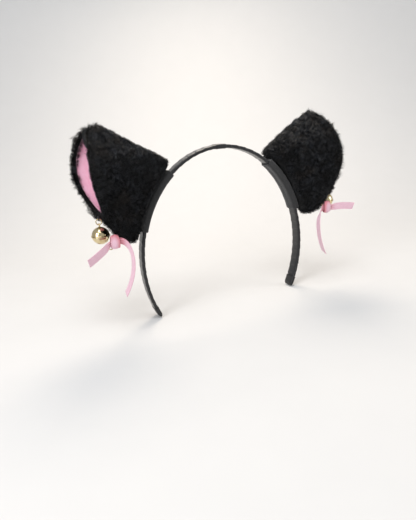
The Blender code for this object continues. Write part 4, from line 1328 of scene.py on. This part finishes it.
# %% Ribbon tails
def ribbon_sheet(path, across, width, pleat, slant, curl):
    """A ribbon of real thickness along a path.

    Each point is path + across w s/2 + face (pleat cos(3 pi s) + curl (1 - s^2)), s from -1 to 1 over the
    width. The last stations are sheared by slant, which cuts the end at an angle.
    """
    path = np.asarray(path, dtype=float)
    tangent = unit(np.gradient(path, axis=0))
    across = unit(across)
    face = unit(np.cross(tangent, across))
    share = np.linspace(-1, 1, 25)[None, :, None]
    length = np.concatenate([[0.0], np.cumsum(np.linalg.norm(np.diff(path, axis=0), axis=1))])
    end = np.clip(1 - (length[-1] - length) / 6.0, 0, 1)[:, None, None]
    middle = (path[:, None] + across[:, None] * (width[:, None, None] / 2 * share)
              + tangent[:, None] * (slant * end * share))
    swell = pleat[:, None, None] * np.cos(3 * math.pi * share) + curl[:, None, None] * (1 - share ** 2)
    middle = middle + face[:, None] * swell
    up = unit(np.cross(np.gradient(middle, axis=0), np.gradient(middle, axis=1)))
    points, faces = two_faced(middle - up * RIBBON_THICKNESS / 2, middle + up * RIBBON_THICKNESS / 2)
    uv = np.stack(np.broadcast_arrays((share[..., 0] + 1) / 2, length[:, None]), axis=-1).reshape(-1, 2)
    # painted shade: darker in the hollows of the pleats near the loop
    painted_shade = np.clip(pleat[:, None] * (1.4 - np.cos(3 * math.pi * share[..., 0])) / 0.8, 0, 0.8).ravel()
    return points, faces, np.concatenate([uv, uv]), np.concatenate([painted_shade, painted_shade])


def tail_shapes(tag):
    """The stiff outer tail and the hanging inner tail, each from the middle of the loop outwards."""
    reach = KNOT_HALF[0] + GAP
    steps = np.linspace(0, 1, 70)
    outer = bezier([KNOT_CENTRE + [reach, -0.4, -1.2], *OUTER_TAIL[tag]], steps)
    outer = np.concatenate([np.linspace(KNOT_CENTRE + [0.4, 0.1, -0.7], outer[0], 9)[:-1], outer])
    run = np.clip(np.linspace(-0.12, 1, len(outer)), 0, 1)
    across = run[:, None] * np.array([0.22, -0.25, 0.12]) + np.array([0.0, -0.10, 1.0])
    width = np.interp(run, [0, 0.25, 1], [4.2, RIBBON_WIDTH, RIBBON_WIDTH])
    pleat = 0.42 * np.exp(-(run / 0.16) ** 2)
    curl = 0.25 * run * (1 - 0.5 * run)
    first = ribbon_sheet(rounded(outer, 8), across, width, pleat, 0.0, curl)

    inner = bezier([KNOT_CENTRE + [-reach, -0.4, 0.4], (84.0, -18.0, -59.0), (81.5, -19.0, -74.0),
                    (85.5, -18.0, -88.0), (92.6, -16.0, -100.0)], steps)
    inner = np.concatenate([np.linspace(KNOT_CENTRE + [-0.4, 0.1, 0.2], inner[0], 9)[:-1], inner])
    run = np.clip(np.linspace(-0.12, 1, len(inner)), 0, 1)
    half_way = np.clip(run / 0.5, 0, 1)
    lean = np.radians(77 * half_way)
    across = np.stack([-0.18 * half_way, -np.sin(lean), np.cos(lean) * (1 - 0.9 * run)], axis=1)
    width = np.interp(run, [0, 0.2, 1], [4.6, RIBBON_WIDTH, RIBBON_WIDTH])
    pleat = 0.42 * np.exp(-(run / 0.13) ** 2)
    curl = -0.35 * np.sin(math.pi * np.clip(run, 0, 1))
    second = ribbon_sheet(rounded(inner, 8), across, width, pleat, 1.6, curl)
    return first, second


# the fold values carry painted shade into the satin's colour
loop_points, loop_faces, loop_uv, loop_shade = ribbon_loop()
for hand in SIDES:
    make_side("ribbon", "loop", hand, (loop_points, loop_faces), RIBBON, "leg", "pink_satin", "knot",
              uv=loop_uv, values={"fold": loop_shade})
    for label, (points, faces, uv, fold) in zip(("outer", "inner"), tail_shapes(hand[0])):
        make_side("ribbon", f"{label}_end", hand, (points, faces), RIBBON, "leg", "pink_satin",
                  f"{label}_tail", uv=uv, values={"fold": fold})


# %% [markdown]
# ## Pieces that keep their CAD shape
# The plastic core and the rim wire are right as they are, so they only get their finish.

# %% Finishes on the CAD nodes
def repaint(node, material):
    """One finish on all of a node's slots."""
    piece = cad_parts[node]
    piece.data.materials.clear()
    piece.data.materials.append(material)


for node in ("band_crown_core", "band_left_core", "band_right_core"):
    repaint(node, PLASTIC)
for tag, side in SIDES:
    repaint(f"ear_{tag}_rim_wire", STEEL_WIRE)
print("repainted the cores and rim wires")


# %% [markdown]
# ## The studio
# A pale sweep of paper runs under the headband and up behind it, and large soft lamps light it from
# above, from both sides and from behind, so that the black pile keeps a bright edge.

# %% Paper sweep
FLOOR = cad_box[0][2] / MM
paper = Finish("studio_paper", roughness=0.9)
fleck = paper.noise(35.0, 2.0)
paper.feed("Base Color", paper.blend(fleck, (0.63, 0.63, 0.63), (0.65, 0.65, 0.65)))
CURVE_FROM, CURVE_RADIUS = 180.0, 400.0
bend_angle = np.radians(np.linspace(3, 90, 24))
profile_y = np.concatenate([np.linspace(-900, CURVE_FROM, 30),
                            CURVE_FROM + CURVE_RADIUS * np.sin(bend_angle),
                            np.full(12, CURVE_FROM + CURVE_RADIUS)])
profile_z = np.concatenate([np.zeros(30), CURVE_RADIUS * (1 - np.cos(bend_angle)),
                            CURVE_RADIUS + np.linspace(40, 1100, 12)]) + FLOOR
columns = np.linspace(-1500, 1500, 20)
sweep = np.stack(np.broadcast_arrays(columns[None], profile_y[:, None], profile_z[:, None]), axis=-1)
sheet_mesh = build_mesh("studio_sweep", sweep.reshape(-1, 3), [grid_quads(*sweep.shape[:2])[:, ::-1]])
sheet_mesh.shade_smooth()
sheet_mesh.materials.append(paper.material)
backdrop = bpy.data.objects.new("studio_sweep", sheet_mesh)
bpy.context.scene.collection.objects.link(backdrop)
backdrop.rotation_euler = (0, 0, math.radians(-22.8))
print("paper sweep at", round(FLOOR, 1), "mm")


# %% Lamps and air
def stood(right, up, back, place):
    """The matrix that stands something at a place in millimetres, its axes given as directions."""
    axes = np.stack([right, up, back], axis=1)
    return Matrix([[*row, at] for row, at in zip(axes, np.asarray(place) * MM)] + [[0, 0, 0, 1]])


def soft_lamp(name, place, target, size, power, colour=(1.0, 1.0, 1.0)):
    """A square area lamp at a place, turned to face a target, all in millimetres."""
    lamp = bpy.data.lights.new(name, "AREA")
    lamp.size, lamp.energy, lamp.color = size * MM, power, colour
    made = bpy.data.objects.new(name, lamp)
    bpy.context.scene.collection.objects.link(made)
    back = unit(np.asarray(place, dtype=float) - np.asarray(target, dtype=float))
    side = unit(np.cross([0.0, 0.0, 1.0], back))
    made.matrix_world = stood(side, np.cross(back, side), back, place)
    return made


MIDDLE = (0.0, 0.0, -35.0)
soft_lamp("lamp_over", (-150, -250, 700), MIDDLE, 500, 3.4)
soft_lamp("lamp_left", (-650, -350, 250), MIDDLE, 350, 2.7)
soft_lamp("lamp_right", (600, -400, 200), MIDDLE, 350, 1.2, (1.0, 0.97, 0.93))
soft_lamp("lamp_behind", (120, 330, 460), MIDDLE, 260, 2.4, (1.0, 0.87, 0.72))

world = bpy.data.worlds.new("studio")
bpy.context.scene.world = world
world.use_nodes = True
world.node_tree.nodes["Background"].inputs["Color"].default_value = (0.95, 0.97, 1.0, 1.0)
world.node_tree.nodes["Background"].inputs["Strength"].default_value = 0.5

# %% Camera
CAMERA_PLACE = (-152.84, -323.44, 15.08)
CAMERA_RIGHT = (0.9108715, -0.4065587, -0.0708736)
CAMERA_UP = (0.1802275, 0.2373869, 0.9545499)
CAMERA_BACK = (-0.3712561, -0.8822457, 0.2895020)
lens = bpy.data.cameras.new("camera")
lens.sensor_width, lens.lens = 36.0, 29.77
lens.clip_start, lens.clip_end = 0.01, 10.0
camera = bpy.data.objects.new("camera", lens)
bpy.context.scene.collection.objects.link(camera)
camera.matrix_world = stood(CAMERA_RIGHT, CAMERA_UP, CAMERA_BACK, CAMERA_PLACE)
bpy.context.scene.camera = camera
bpy.context.scene.view_settings.view_transform = "Standard"
print("camera at", CAMERA_PLACE)
